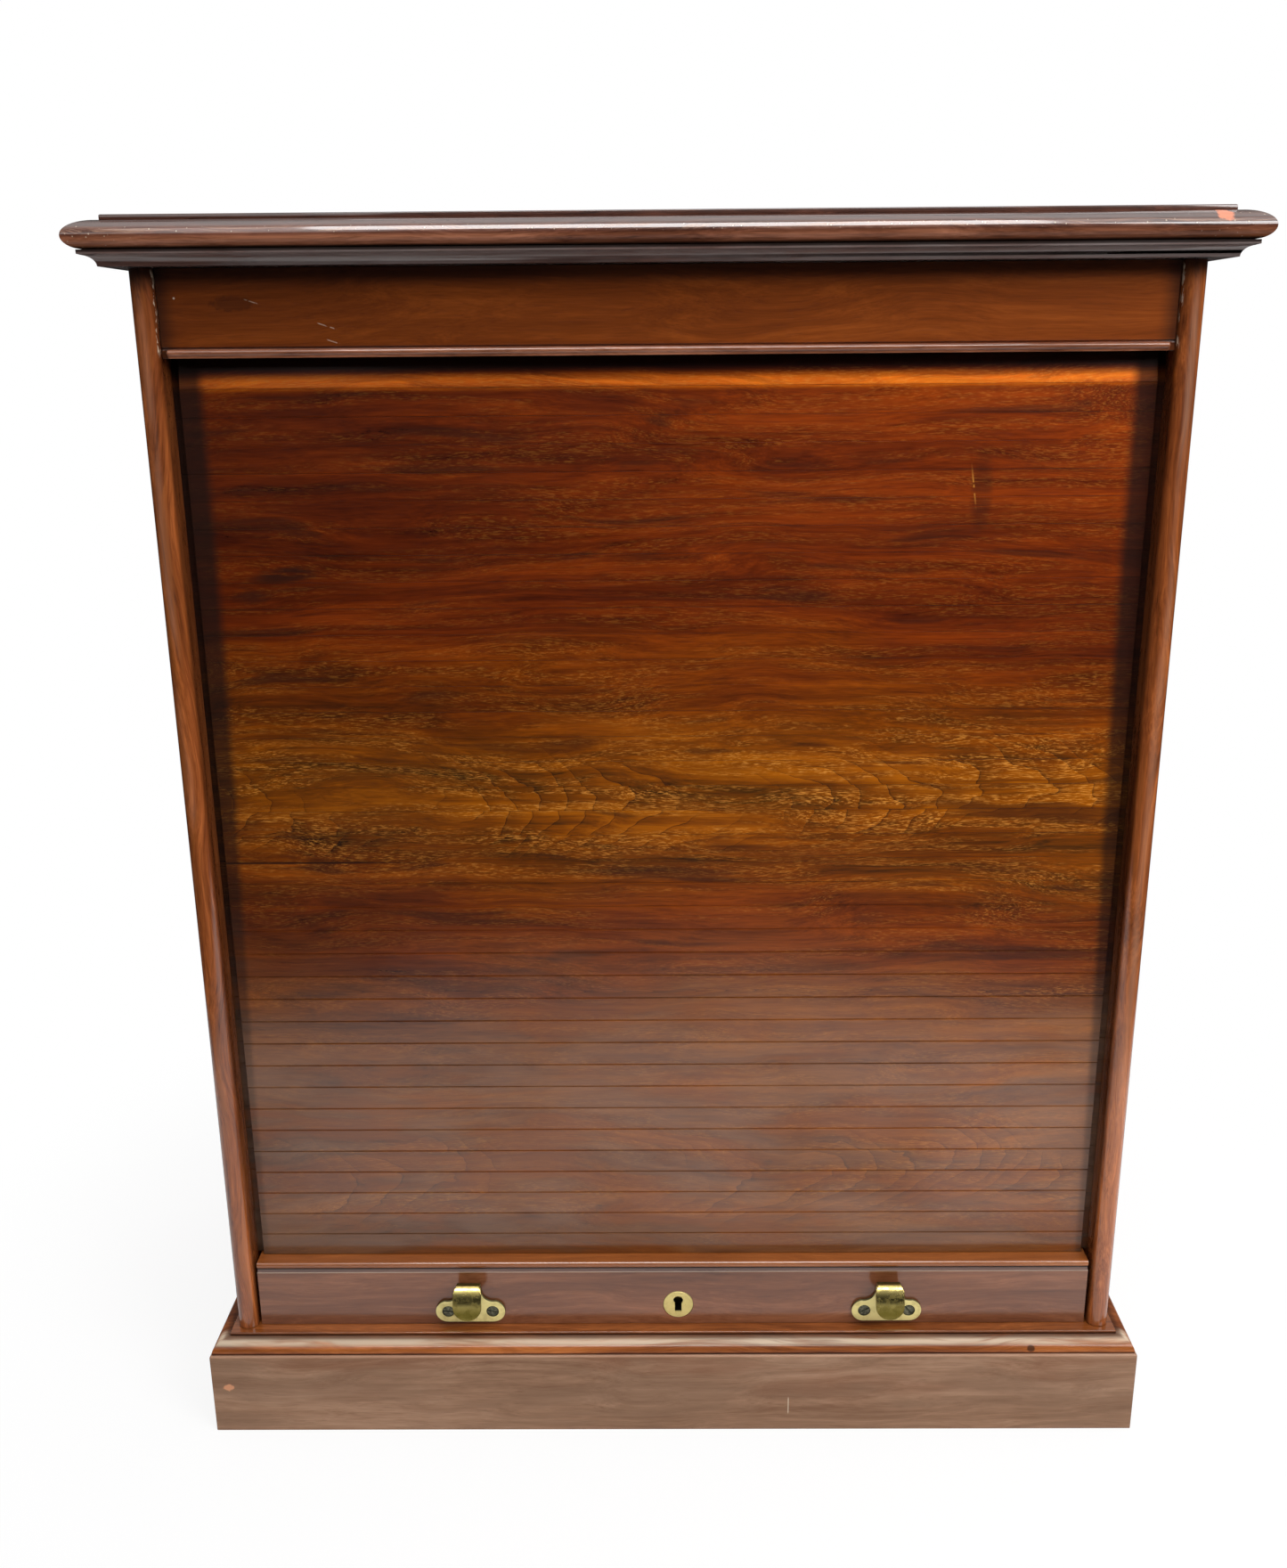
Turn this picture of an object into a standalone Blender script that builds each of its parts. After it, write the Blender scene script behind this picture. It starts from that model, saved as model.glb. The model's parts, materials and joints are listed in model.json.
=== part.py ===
"""A small upright cabinet whose whole front is a tambour: canvas-backed slats that lift behind a frieze.

Units are metres, +Z is up and the front faces -Y. The origin is the middle of the object's bounding box,
on the floor. "Recess" is a distance back from the front edges of the side boards, "overhang" a distance
out from the faces of the side boards.
"""

import math

import bmesh
import bpy
from mathutils import Vector

fit_gap = 0.0003  # left between two pieces that touch
cut_past = 0.010  # how far a cutter runs out past the face that it cuts

# Carcase
body_width = 0.570  # over the side boards
body_depth = 0.370  # front edges of the side boards to their back edges
side_thickness = 0.013
side_height = 0.6565
side_rounding = 0.0058  # radius of each front corner of a side board
back_thickness = 0.006
back_housing = 0.0065  # how far the back panel reaches into each side board

# Plinth and base board
plinth_height = 0.0570
plinth_overhang = 0.0152
plinth_board = 0.0160
plinth_arris = 0.0008
glue_block = 0.034
glue_block_clearance = 0.004  # above the floor
base_thickness = 0.0096
base_overhang = 0.0137  # lower edge of the ovolo
ledge_overhang = 0.0038
ovolo_foot = 0.0012
ovolo_spring = 0.0052  # overhang of the top of the ovolo
ovolo_drop = 0.0024  # top of the ovolo, below the ledge
ledge_slope = 0.0003  # rise of the narrow flat between the ovolo and the ledge

# Top board and the bed moulding under it
top_thickness = 0.0173
nose_overhang = 0.0236
nose_height = 0.0061  # above the underside of the top board
nose_undercut = 0.0079
fillet_overhang = 0.0081
fillet_height = 0.0028
cornice_height = 0.0079
cornice_overhang = 0.0182
cornice_foot = 0.0107  # overhang of its lower edge
cornice_fillet = 0.0013
cornice_corner = 0.0005  # taken off the fillet's lower corner
cornice_inside = 0.0220  # how far it reaches in over the side boards

# Frieze
frieze_height = 0.0460
frieze_recess = 0.0050
frieze_thickness = 0.0100
bead_height = 0.0046
bead_projection = 0.0032
bead_fillet = 0.0011
bead_fillet_projection = 0.0019
bead_end_steps = 3
bead_end_gap = 0.0030
quirk_width = 0.0010
quirk_depth = 0.0012

# Tambour
slat_pitch = 0.01522
tail_slats = 3  # slats that lie round the curve when the tambour is shut
slat_gap = 0.0004
slat_arris = 0.0005
slat_recess = 0.0148
slat_thickness = 0.0085
canvas_thickness = 0.0006
canvas_tab = 0.014  # overlap of the canvas down the back of the lift rail
shoulder_inset = 0.0100  # from the side board's face to a slat's shoulder
tongue_set_back = 0.0040  # from the face of a slat to the face of its tongue
tongue_thickness = 0.0038
tongue_reach = 0.0055  # into the groove
groove_width = 0.0058
groove_depth = 0.0065
groove_spare = 0.030  # run left beyond the tail of the open tambour
curve_radius = 0.042
run_below_side_top = 0.0177  # top run of the groove, under the side boards' top edges
back_run_inset = 0.0150  # back run of the groove, from the side boards' back edges
curve_steps = 8

# Inner case
inner_board = 0.008
inner_recess = 0.030  # front edges of the inner top and the shelves
inner_back_inset = 0.024  # rear face of the inner back, from the side boards' back edges
inner_top_below_run = 0.030
housing_depth = 0.004
shelf_count = 3

# Lift rail
rail_recess = 0.0046
rail_height = 0.0415
rail_side_gap = 0.0020
rail_quirk_height = 0.0020
rail_quirk_depth = 0.0016
rail_tongue_height = 0.0318
rail_tongue_lift = 0.0020
rail_moulding_height = 0.0041
rail_moulding_nose = 0.0016

# Lock, on the lift rail's centre line but for a small offset
lock_offset = 0.0042
escutcheon_height = 0.0143  # above the rail's lower edge
keyhole_rise = 0.0031  # its round part, above the middle of the escutcheon
keyhole_radius = 0.0032
keyhole_slot_width = 0.0044
keyhole_slot_drop = 0.0087
escutcheon_radius = 0.0097
escutcheon_thickness = 0.0014
escutcheon_sink = 0.0012
lock_width = 0.050
lock_height = 0.030
lock_depth = 0.0090
lock_plate_width = 0.064
lock_plate_thickness = 0.0016
bolt_width = 0.020
bolt_thickness = 0.0040
bolt_height = 0.0170
bolt_throw = 0.0065
bolt_clearance = 0.0004
strike_width = 0.064
strike_depth = 0.0120
strike_thickness = 0.0014

# Hook lifts
hook_spacing = 0.272
hook_height = 0.0108  # lobe centres above the rail's lower edge
hook_lobe_radius = 0.0078
hook_lobe_spacing = 0.0300
hook_plate_thickness = 0.0018
hook_neck_width = 0.0150
hook_neck_height = 0.0160  # from the lobe centres to the bend
hook_shoulder_height = 0.0120  # where the hollow sides of the plate meet the neck
hook_lap = 0.0072  # how far the strap runs down into the neck
hook_tip_flat = 0.0024  # width left at the end of the round tip
hook_strap_width = 0.0185
hook_strap_thickness = 0.0020
hook_bend_radius = 0.0078  # middle of the strap
hook_drop = 0.0120  # from the bend's centre to the tip
screw_spacing = 0.0290
screw_head_radius = 0.0040
screw_head_depth = 0.0023
screw_rim = 0.0002
screw_shank_radius = 0.0015
screw_length = 0.0120
screw_slot_width = 0.0009
screw_slot_depth = 0.0007
screw_dome = 0.0003
screw_crown_radius = 0.0018  # flat middle of the domed head
screw_hole_proud = 0.0020
screw_clearance = 0.0003
round_steps = 20

# Worked out from the sizes above
half_width = body_width / 2
inner_half_width = half_width - side_thickness
front_y = (nose_overhang - body_depth) / 2
back_y = front_y + body_depth
base_bottom = plinth_height + fit_gap
base_top = base_bottom + base_thickness
side_bottom = base_top + fit_gap
side_top = side_bottom + side_height
cornice_bottom = side_top + fit_gap
cornice_top = cornice_bottom + cornice_height
top_bottom = cornice_top + fit_gap
frieze_bottom = side_top - frieze_height
rail_bottom = base_top + fit_gap
rail_top = rail_bottom + rail_height
rail_half_width = inner_half_width - rail_side_gap
moulding_bottom = rail_top + fit_gap
moulding_top = moulding_bottom + rail_moulding_height
slat_back = slat_recess + slat_thickness
tambour_bottom = moulding_top + fit_gap
groove_recess = slat_recess + tongue_set_back + tongue_thickness / 2
run_height = side_top - run_below_side_top
curve_start = run_height - curve_radius
back_groove_y = back_y - back_run_inset
curve_length = curve_radius * math.pi / 2
top_run = back_groove_y - (front_y + groove_recess) - 2 * curve_radius
slat_count = math.ceil((curve_start - tambour_bottom) / slat_pitch) + tail_slats
groove_end = curve_start - (slat_count * slat_pitch - 2 * curve_length - top_run) - groove_spare
inner_top_top = run_height - inner_top_below_run
inner_top_bottom = inner_top_top - inner_board
inner_back_rear = back_y - inner_back_inset
inner_back_front = inner_back_rear - inner_board
escutcheon_z = rail_bottom + escutcheon_height
hook_z = rail_bottom + hook_height
shelf_spacing = (inner_top_bottom - base_top + inner_board) / (shelf_count + 1)


# ---- Materials and objects


def material(name, colour, roughness, metallic=0.0):
    made = bpy.data.materials.get(name)
    if made:
        return made
    made = bpy.data.materials.new(name)
    made.use_nodes = True
    shader = made.node_tree.nodes["Principled BSDF"]
    shader.inputs["Base Color"].default_value = (*colour, 1.0)
    shader.inputs["Roughness"].default_value = roughness
    shader.inputs["Metallic"].default_value = metallic
    made.diffuse_color = (*colour, 1.0)
    return made


def dark_mahogany(name):
    return material(name, (0.085, 0.028, 0.012), 0.28)


def red_mahogany(name):
    return material(name, (0.19, 0.05, 0.018), 0.3)


def brass(name):
    return material(name, (0.62, 0.47, 0.17), 0.3, 1.0)


def add_object(name, mesh_source, finish, location=(0, 0, 0), parent=None):
    """An object with this bmesh, whose faces are turned outwards and shaded smooth between soft edges."""
    bmesh.ops.recalc_face_normals(mesh_source, faces=mesh_source.faces)
    mesh = bpy.data.meshes.new(name)
    mesh_source.to_mesh(mesh)
    mesh_source.free()
    mesh.shade_smooth()
    mesh.set_sharp_from_angle(angle=math.radians(35))
    made = bpy.data.objects.new(name, mesh)
    bpy.context.scene.collection.objects.link(made)
    made.location = location
    if finish:
        mesh.materials.append(finish)
    if parent:
        made.parent = parent
        made.matrix_parent_inverse = parent.matrix_world.inverted()
    return made


def add_empty(name, location):
    made = bpy.data.objects.new(name, None)
    bpy.context.scene.collection.objects.link(made)
    made.location = location
    bpy.context.view_layer.update()
    return made


def as_cutter(made):
    made.hide_render = True
    made.display_type = "WIRE"
    return made


def combine(target, other, operation):
    """Cuts or joins the other object, which becomes a hidden helper that moves with the target's parent."""
    step = target.modifiers.new(other.name, "BOOLEAN")
    step.operation = operation
    step.object = as_cutter(other)
    step.solver = "EXACT"


# ---- Outlines


def arc(centre, radius, start, end, steps, radius_2=None):
    """Points along an arc, or with two radii along an ellipse, between two angles in degrees."""
    points = []
    for i in range(steps + 1):
        angle = math.radians(start + (end - start) * i / steps)
        points.append(
            (centre[0] + radius * math.cos(angle), centre[1] + (radius_2 or radius) * math.sin(angle))
        )
    return points


def rectangle(low, high):
    return [low, (high[0], low[1]), high, (low[0], high[1])]


def place(axis, along, point):
    """A point of an outline in the plane across this axis, at this distance along it."""
    if axis == "X":
        return Vector((along, point[0], point[1]))
    if axis == "Y":
        return Vector((point[0], along, point[1]))
    return Vector((point[0], point[1], along))


def loft(rings):
    """A closed solid through rings of points, each with the same count, and a flat face on each end."""
    shape = bmesh.new()
    loops = [[shape.verts.new(point) for point in ring] for ring in rings]
    count = len(rings[0])
    for lower, upper in zip(loops, loops[1:]):
        for i in range(count):
            j = (i + 1) % count
            shape.faces.new((lower[i], lower[j], upper[j], upper[i]))
    shape.faces.new(loops[0])
    shape.faces.new(loops[-1])
    return shape


def prism(outline, axis, start, end):
    """The outline, in the plane across the axis, extruded between two distances along it."""
    shape = bmesh.new()
    face = shape.faces.new([shape.verts.new(place(axis, start, point)) for point in outline])
    grown = bmesh.ops.extrude_face_region(shape, geom=[face])["geom"]
    corners = [item for item in grown if isinstance(item, bmesh.types.BMVert)]
    bmesh.ops.translate(shape, verts=corners, vec=place(axis, end - start, (0, 0)))
    return shape


def box(low, high):
    return prism(rectangle(low[:2], high[:2]), "Z", low[2], high[2])


def turned(profile, steps=round_steps):
    """A round solid about Y through (radius, y) points."""
    rings = []
    for radius, along in profile:
        turn = [2 * math.pi * i / steps for i in range(steps)]
        rings.append([Vector((radius * math.cos(a), along, radius * math.sin(a))) for a in turn])
    return loft(rings)


def add_board(name, low, high, finish, parent=None):
    """A square-edged board, with its origin at its middle."""
    middle = (Vector(low) + Vector(high)) / 2
    return add_object(name, box(Vector(low) - middle, Vector(high) - middle), finish, middle, parent)


def cut_box(target, name, low, high):
    combine(target, add_object(name, box(low, high), None), "DIFFERENCE")


def moulded_board(profile):
    """A board with this (overhang, height) edge on its front and sides, and a square back edge."""
    rings = []
    for overhang, height in profile:
        reach = half_width + overhang
        front = front_y - overhang
        corners = [(-reach, front), (reach, front), (reach, back_y), (-reach, back_y)]
        rings.append([Vector((x, y, height)) for x, y in corners])
    return loft(rings)


def mitred_length(profile, side):
    """One length of a closed (overhang, height) profile along the front (side 0), left (-1) or right (1)."""
    mitre = fit_gap / 2
    if side == 0:
        ends = (-1, 1)
        return loft(
            [
                [Vector((end * (half_width + o - mitre), front_y - o, z)) for o, z in profile]
                for end in ends
            ]
        )
    front = [Vector((side * (half_width + o), front_y - o + mitre, z)) for o, z in profile]
    back = [Vector((side * (half_width + o), back_y, z)) for o, z in profile]
    return loft([front, back])


# ---- Plinth and base board


def make_plinth():
    inside = plinth_overhang - plinth_board
    profile = [
        (inside, 0),
        (plinth_overhang, 0),
        (plinth_overhang, plinth_height - plinth_arris),
        (plinth_overhang - plinth_arris, plinth_height),
        (inside, plinth_height),
    ]
    for side, name in ((0, "plinth_front"), (-1, "plinth_left"), (1, "plinth_right")):
        add_object(name, mitred_length(profile, side), dark_mahogany("plinth_wood"))
    reach = half_width + inside - fit_gap
    low = (-reach, back_y - plinth_board, 0)
    add_board("plinth_back", low, (reach, back_y, plinth_height), dark_mahogany("plinth_wood"))
    make_glue_blocks(reach, front_y - inside + fit_gap, back_y - plinth_board - fit_gap)


def make_glue_blocks(reach, front, back):
    """A three-cornered block in each corner of the plinth, under the base board."""
    for side, across in ((-1, "left"), (1, "right")):
        for y, step, end in ((front, 1, "front"), (back, -1, "back")):
            outline = [(0, 0), (-side * glue_block, 0), (0, step * glue_block)]
            shape = prism(outline, "Z", glue_block_clearance, plinth_height)
            where = (side * reach, y, 0)
            add_object(f"glue_block_{end}_{across}", shape, red_mahogany("block_wood"), where)


def make_base_board():
    ovolo_top = base_thickness - ovolo_drop
    ovolo_run = base_overhang - ovolo_spring
    profile = [(base_overhang, 0), (base_overhang, ovolo_foot)]
    profile += arc((ovolo_spring, ovolo_foot), ovolo_run, 12, 90, 7, ovolo_top - ovolo_foot)
    profile += [(ledge_overhang, ovolo_top + ledge_slope), (ledge_overhang, base_thickness)]
    board = add_object("base_board", moulded_board(profile), red_mahogany("base_wood"), (0, 0, base_bottom))
    make_strike_plate(board)


def make_strike_plate(board):
    """The plate that the bolt drops through, let in flush with the ledge under the lock."""
    middle_y = front_y + lock_case_recess() + lock_depth / 2
    half = Vector((strike_width / 2, strike_depth / 2, 0))
    low = Vector((lock_offset, middle_y, -strike_thickness)) - half
    high = Vector((lock_offset, middle_y, 0)) + half
    grow = Vector((fit_gap, fit_gap, 0))
    down = Vector((0, 0, fit_gap))
    above = Vector((0, 0, cut_past))
    cut_box(board, "strike_recess", at_base(low - grow - down), at_base(high + grow + above))
    slot = Vector((bolt_width / 2 + 2 * bolt_clearance, bolt_thickness / 2 + 2 * bolt_clearance, 0))
    slot_depth = Vector((0, 0, bolt_throw + fit_gap + 4 * bolt_clearance))
    middle = Vector((lock_offset, middle_y, 0))
    upper = middle + slot + above
    cut_box(board, "bolt_mortise", at_base(middle - slot - slot_depth), at_base(upper))
    plate = add_object("strike_plate", box(low, high), brass("lock_brass"), (0, 0, base_top))
    cut_box(plate, "strike_slot", at_base(middle - slot - slot_depth), at_base(upper))


def at_base(point):
    return Vector(point) + Vector((0, 0, base_top))


# ---- Side boards


def tambour_run(offset):
    """The groove's line at this offset outwards from its middle: up the front, over, and down the back."""
    front = front_y + groove_recess
    radius = curve_radius + offset
    front_middle = (front + curve_radius, curve_start)
    back_middle = (back_groove_y - curve_radius, curve_start)
    points = [(front - offset, side_bottom - groove_width)]
    points += arc(front_middle, radius, 180, 90, curve_steps)
    points += arc(back_middle, radius, 90, 0, curve_steps)
    points.append((back_groove_y + offset, groove_end))
    return points


def side_outline():
    """The board from above, for the right side: square behind, rounded at both front corners."""
    inner, outer = inner_half_width, half_width
    radius = side_rounding
    points = arc((inner + radius, front_y + radius), radius, 180, 270, 6)
    points += arc((outer - radius, front_y + radius), radius, 270, 360, 6)
    return points + [(outer, back_y), (inner, back_y)]


def make_sides():
    groove = tambour_run(groove_width / 2) + tambour_run(-groove_width / 2)[::-1]
    for side, name in ((-1, "side_left"), (1, "side_right")):
        outline = [(side * x, y) for x, y in side_outline()]
        board = add_object(name, prism(outline, "Z", side_bottom, side_top), red_mahogany("side_wood"))
        face = side * inner_half_width
        clear = face - side * cut_past
        cutter = prism(groove, "X", clear, face + side * groove_depth)
        combine(board, add_object(f"{name}_groove", cutter, None), "DIFFERENCE")
        housings = [(inner_recess, inner_back_rear, z, z + inner_board) for z in shelf_heights()]
        housings.append((inner_recess, inner_back_rear, inner_top_bottom, inner_top_top))
        inner_back_recess = inner_back_front - front_y
        housings.append((inner_back_recess, inner_back_rear, side_bottom - cut_past, inner_top_top))
        for i, (recess, rear, low, high) in enumerate(housings):
            reach = face + side * housing_depth
            start = (min(clear, reach), front_y + recess - fit_gap, low - fit_gap)
            end = (max(clear, reach), rear + fit_gap, high + fit_gap)
            cut_box(board, f"{name}_housing_{i}", start, end)
        reach = face + side * (back_housing + fit_gap)
        start = (min(clear, reach), back_y - back_thickness - fit_gap, side_bottom - cut_past)
        cut_box(board, f"{name}_rebate", start, (max(clear, reach), back_y + cut_past, side_top + cut_past))


def shelf_heights():
    """The underside of each shelf."""
    return [base_top + shelf_spacing * (i + 1) - inner_board for i in range(shelf_count)]


# ---- Inner case and back


def make_inner_case():
    reach = inner_half_width + housing_depth - fit_gap
    wood = red_mahogany("inner_wood")
    front = front_y + inner_recess
    add_board(
        "inner_top", (-reach, front, inner_top_bottom), (reach, inner_back_rear, inner_top_top), wood
    )
    low = (-reach, inner_back_front, base_top + fit_gap)
    add_board("inner_back", low, (reach, inner_back_rear, inner_top_bottom - fit_gap), wood)
    for i, height in enumerate(shelf_heights()):
        low = (-reach, front, height)
        high = (reach, inner_back_front - fit_gap, height + inner_board)
        add_board(f"shelf_{i + 1}", low, high, wood)
    reach = inner_half_width + back_housing
    low = (-reach, back_y - back_thickness, side_bottom)
    add_board("back_panel", low, (reach, back_y, side_top), dark_mahogany("back_wood"))


# ---- Frieze, bed moulding and top board


def make_frieze():
    """The rail, with a quirk worked above the bead that is planted on its lower edge."""
    face = front_y + frieze_recess
    back = face + frieze_thickness
    quirk = frieze_bottom + bead_height
    outline = [
        (face, frieze_bottom),
        (face, quirk),
        (face + quirk_depth, quirk),
        (face + quirk_depth, quirk + quirk_width),
        (face, quirk + quirk_width),
        (face, side_top),
        (back, side_top),
        (back, frieze_bottom),
    ]
    reach = inner_half_width - fit_gap
    add_object("frieze_rail", prism(outline, "X", -reach, reach), red_mahogany("frieze_wood"))
    make_bead(face - fit_gap)


def make_bead(back):
    """A round on a small fillet, with its ends rounded off."""
    radius = (bead_height - bead_fillet) / 2
    round_middle = (back - bead_projection + radius, frieze_bottom + bead_fillet + radius)
    outline = [(back, frieze_bottom), (back - bead_fillet_projection, frieze_bottom)]
    outline.append((back - bead_fillet_projection, frieze_bottom + bead_fillet))
    outline += arc(round_middle, radius, 250, 90, 7)
    outline.append((back, frieze_bottom + bead_height))
    reach = inner_half_width - bead_end_gap
    rings = []
    for side in (-1, 1):
        ends = []
        for share, outward in arc((0, 0), 1, 75, 0, bead_end_steps):
            along = side * (reach - radius + radius * outward)
            ends.append([end_point(along, back, round_middle[1], share, point) for point in outline])
        rings += ends if side < 0 else ends[::-1]
    add_object("frieze_bead", loft(rings), dark_mahogany("bead_wood"))


def end_point(along, back, middle, share, point):
    """A point of the bead's outline, drawn in to this share of its size for the rounded end."""
    return Vector((along, back + (point[0] - back) * share, middle + (point[1] - middle) * share))


def make_bed_moulding():
    """A flat frame under the top board, its edge worked to a fillet over a hollow."""
    hollow_run = cornice_overhang - cornice_foot - cornice_fillet
    hollow_rise = cornice_height - 2 * cornice_fillet
    outer = arc((cornice_foot + hollow_run, 0), hollow_run, 180, 98, 6, hollow_rise)
    outer += [(cornice_overhang, hollow_rise + cornice_corner), (cornice_overhang, cornice_height)]
    profile = [(o, z + cornice_bottom) for o, z in outer]
    profile += [(-cornice_inside, cornice_top), (-cornice_inside, cornice_bottom)]
    for side, name in ((0, "cornice_front"), (-1, "cornice_left"), (1, "cornice_right")):
        add_object(name, mitred_length(profile, side), dark_mahogany("cornice_wood"))
    reach = half_width - cornice_inside - fit_gap
    low = (-reach, back_y - 2 * cornice_inside, cornice_bottom)
    add_board("cornice_back", low, (reach, back_y, cornice_top), dark_mahogany("cornice_wood"))


def make_top_board():
    fillet_bottom = top_thickness - fillet_height
    under = (nose_overhang - nose_undercut, nose_height)
    profile = arc(under, nose_undercut, -90, 0, 6, nose_height)
    over = (fillet_overhang, nose_height)
    profile += arc(over, nose_overhang - fillet_overhang, 0, 90, 8, fillet_bottom - nose_height)[1:]
    profile.append((fillet_overhang, top_thickness))
    add_object("top_board", moulded_board(profile), dark_mahogany("top_wood"), (0, 0, top_bottom))


# ---- Tambour


def canvas_line(run):
    """Where the canvas lies after this run up from the rail: straight, then round the first curve."""
    radius = curve_radius - (slat_back - groove_recess)
    straight = curve_start - tambour_bottom
    if run <= straight:
        return Vector((0, front_y + slat_back, tambour_bottom + run))
    angle = (run - straight) / radius
    middle = Vector((0, front_y + slat_back + radius, curve_start))
    return middle + Vector((0, -radius * math.cos(angle), radius * math.sin(angle)))


def next_hinge(run):
    """The run at which the canvas is one slat's pitch away in a straight line, as a stiff slat needs."""
    start = canvas_line(run)
    low, high = run, run + 2 * slat_pitch
    for _ in range(40):
        middle = (low + high) / 2
        if (canvas_line(middle) - start).length < slat_pitch:
            low = middle
        else:
            high = middle
    return low


def slat_frames():
    """Each slat's hinge line, its direction along the run and its outward direction."""
    run = 0.0
    frames = []
    for _ in range(slat_count):
        start = canvas_line(run)
        run = next_hinge(run)
        along = (canvas_line(run) - start).normalized()
        frames.append((start, along, Vector((0, -along.z, along.y))))
    return frames


def make_tambour():
    """All slats on their canvas, as one flexible sheet: stiff slats with tongues, hinged at the canvas."""
    frames = slat_frames()
    shape = bmesh.new()
    shoulder = inner_half_width - shoulder_inset
    tongue_back = slat_thickness - tongue_set_back - tongue_thickness
    tongue_front = tongue_back + tongue_thickness

    def point(place_on, a, b):
        start, along, out = place_on
        return start + along * a + out * b + Vector((-shoulder, 0, 0))

    def vertex(position):
        return shape.verts.new(position)

    canvas_front = [vertex(point(frame, 0, 0)) for frame in frames]
    canvas_front.append(vertex(point(frames[-1], slat_pitch, 0)))
    canvas_rear = []
    for i in range(slat_count + 1):
        near = frames[min(i, slat_count - 1)][2] + frames[max(i - 1, 0)][2]
        canvas_rear.append(vertex(canvas_front[i].co - near.normalized() * canvas_thickness))
    section = []
    is_tongue = shape.faces.layers.int.new("is_tongue")
    for i, frame in enumerate(frames):
        low = slat_gap / 2
        high = slat_pitch - slat_gap / 2
        levels = []
        for b in (0, tongue_back, tongue_front, slat_thickness - slat_arris):
            levels.append((vertex(point(frame, low, b)), vertex(point(frame, high, b))))
        face = (
            vertex(point(frame, low + slat_arris, slat_thickness)),
            vertex(point(frame, high - slat_arris, slat_thickness)),
        )
        hinge = (canvas_rear[i], canvas_rear[i + 1], canvas_front[i + 1])
        section.append(shape.faces.new((*hinge, levels[0][1], levels[0][0], canvas_front[i])))
        for lower, upper in zip(levels, levels[1:]):
            section.append(shape.faces.new((lower[0], lower[1], upper[1], upper[0])))
        section[-2][is_tongue] = 1
        section.append(shape.faces.new((levels[3][0], levels[3][1], face[1], face[0])))
    section.append(make_canvas_tab(shape, canvas_front[0], canvas_rear[0]))
    grown = bmesh.ops.extrude_face_region(shape, geom=section)["geom"]
    moved = [item for item in grown if isinstance(item, bmesh.types.BMVert)]
    bmesh.ops.translate(shape, verts=moved, vec=(2 * shoulder, 0, 0))
    length = shoulder_inset + tongue_reach
    for side in (-1, 1):
        ends = [
            face
            for face in shape.faces
            if face[is_tongue] and abs(face.calc_center_median().x - side * shoulder) < slat_gap
        ]
        for face in bmesh.ops.extrude_discrete_faces(shape, faces=ends)["faces"]:
            bmesh.ops.translate(shape, verts=face.verts, vec=(side * length, 0, 0))
    add_object("tambour_curtain", shape, red_mahogany("tambour_wood"))


def make_canvas_tab(shape, front, rear):
    """The canvas carried on down behind the lift rail, where it is tacked."""
    clear = Vector((0, fit_gap, 0))
    low_front = shape.verts.new(front.co + clear + Vector((0, 0, -canvas_tab)))
    low_rear = shape.verts.new(rear.co + clear + Vector((0, 0, -canvas_tab)))
    front_foot = shape.verts.new(front.co + clear)
    return shape.faces.new((rear, front, front_foot, low_front, low_rear))


# ---- Lift rail


def make_lift_rail(carrier):
    """The stiff bottom rail, with a quirk under its moulding and tongues that run in the side grooves."""
    face = front_y + rail_recess
    back = front_y + slat_back - fit_gap
    quirk = rail_top - rail_quirk_height
    outline = [
        (face, rail_bottom),
        (face, quirk),
        (face + rail_quirk_depth, quirk),
        (face + rail_quirk_depth, rail_top),
        (back, rail_top),
        (back, rail_bottom),
    ]
    wood = red_mahogany("rail_wood")
    shape = prism(outline, "X", -rail_half_width, rail_half_width)
    rail = add_object("lift_rail", shape, wood, parent=carrier)
    middle = front_y + groove_recess
    low = (-inner_half_width - tongue_reach, middle - tongue_thickness / 2, rail_bottom + rail_tongue_lift)
    high = (inner_half_width + tongue_reach, middle + tongue_thickness / 2, low[2] + rail_tongue_height)
    combine(rail, add_object("rail_tongue", box(low, high), None), "UNION")
    nose = rail_moulding_nose
    outline = [(back, moulding_bottom), (face + nose, moulding_bottom)]
    outline += arc((face + nose, moulding_bottom + nose), nose, 270, 180, 4)[1:]
    outline += arc((face + nose, moulding_top - nose), nose, 180, 90, 4)
    outline.append((back, moulding_top))
    shape = prism(outline, "X", -rail_half_width, rail_half_width)
    add_object("lift_rail_moulding", shape, wood, parent=carrier)
    return rail


def keyhole_outline(grow=0.0):
    """A round hole over a slot, centred on the round hole."""
    radius = keyhole_radius + grow
    half = keyhole_slot_width / 2 + grow
    start = math.degrees(math.asin(half / radius))
    points = arc((0, 0), radius, -90 + start, 270 - start, 12)
    return points + [(-half, -keyhole_slot_drop - grow), (half, -keyhole_slot_drop - grow)]


def lock_case_recess():
    return slat_back - fit_gap - lock_depth


def make_escutcheon(rail, carrier):
    face = front_y + rail_recess
    front = face + escutcheon_sink - escutcheon_thickness
    where = Vector((lock_offset, 0, escutcheon_z))
    shape = turned([(escutcheon_radius, front), (escutcheon_radius, front + escutcheon_thickness)], 32)
    plate = add_object("escutcheon", shape, brass("escutcheon_brass"), where, carrier)
    depth = face + escutcheon_sink + fit_gap
    radius = escutcheon_radius + fit_gap
    recess = turned([(radius, face - cut_past), (radius, depth)], 32)
    combine(rail, add_object("escutcheon_recess", recess, None, where, carrier), "DIFFERENCE")
    hole = prism(keyhole_outline(), "Y", face - cut_past, front_y + slat_back + cut_past)
    hole_cutter = add_object("keyhole", hole, None, where + Vector((0, 0, keyhole_rise)), carrier)
    combine(rail, hole_cutter, "DIFFERENCE")
    combine(plate, hole_cutter, "DIFFERENCE")
    return hole_cutter


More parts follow.
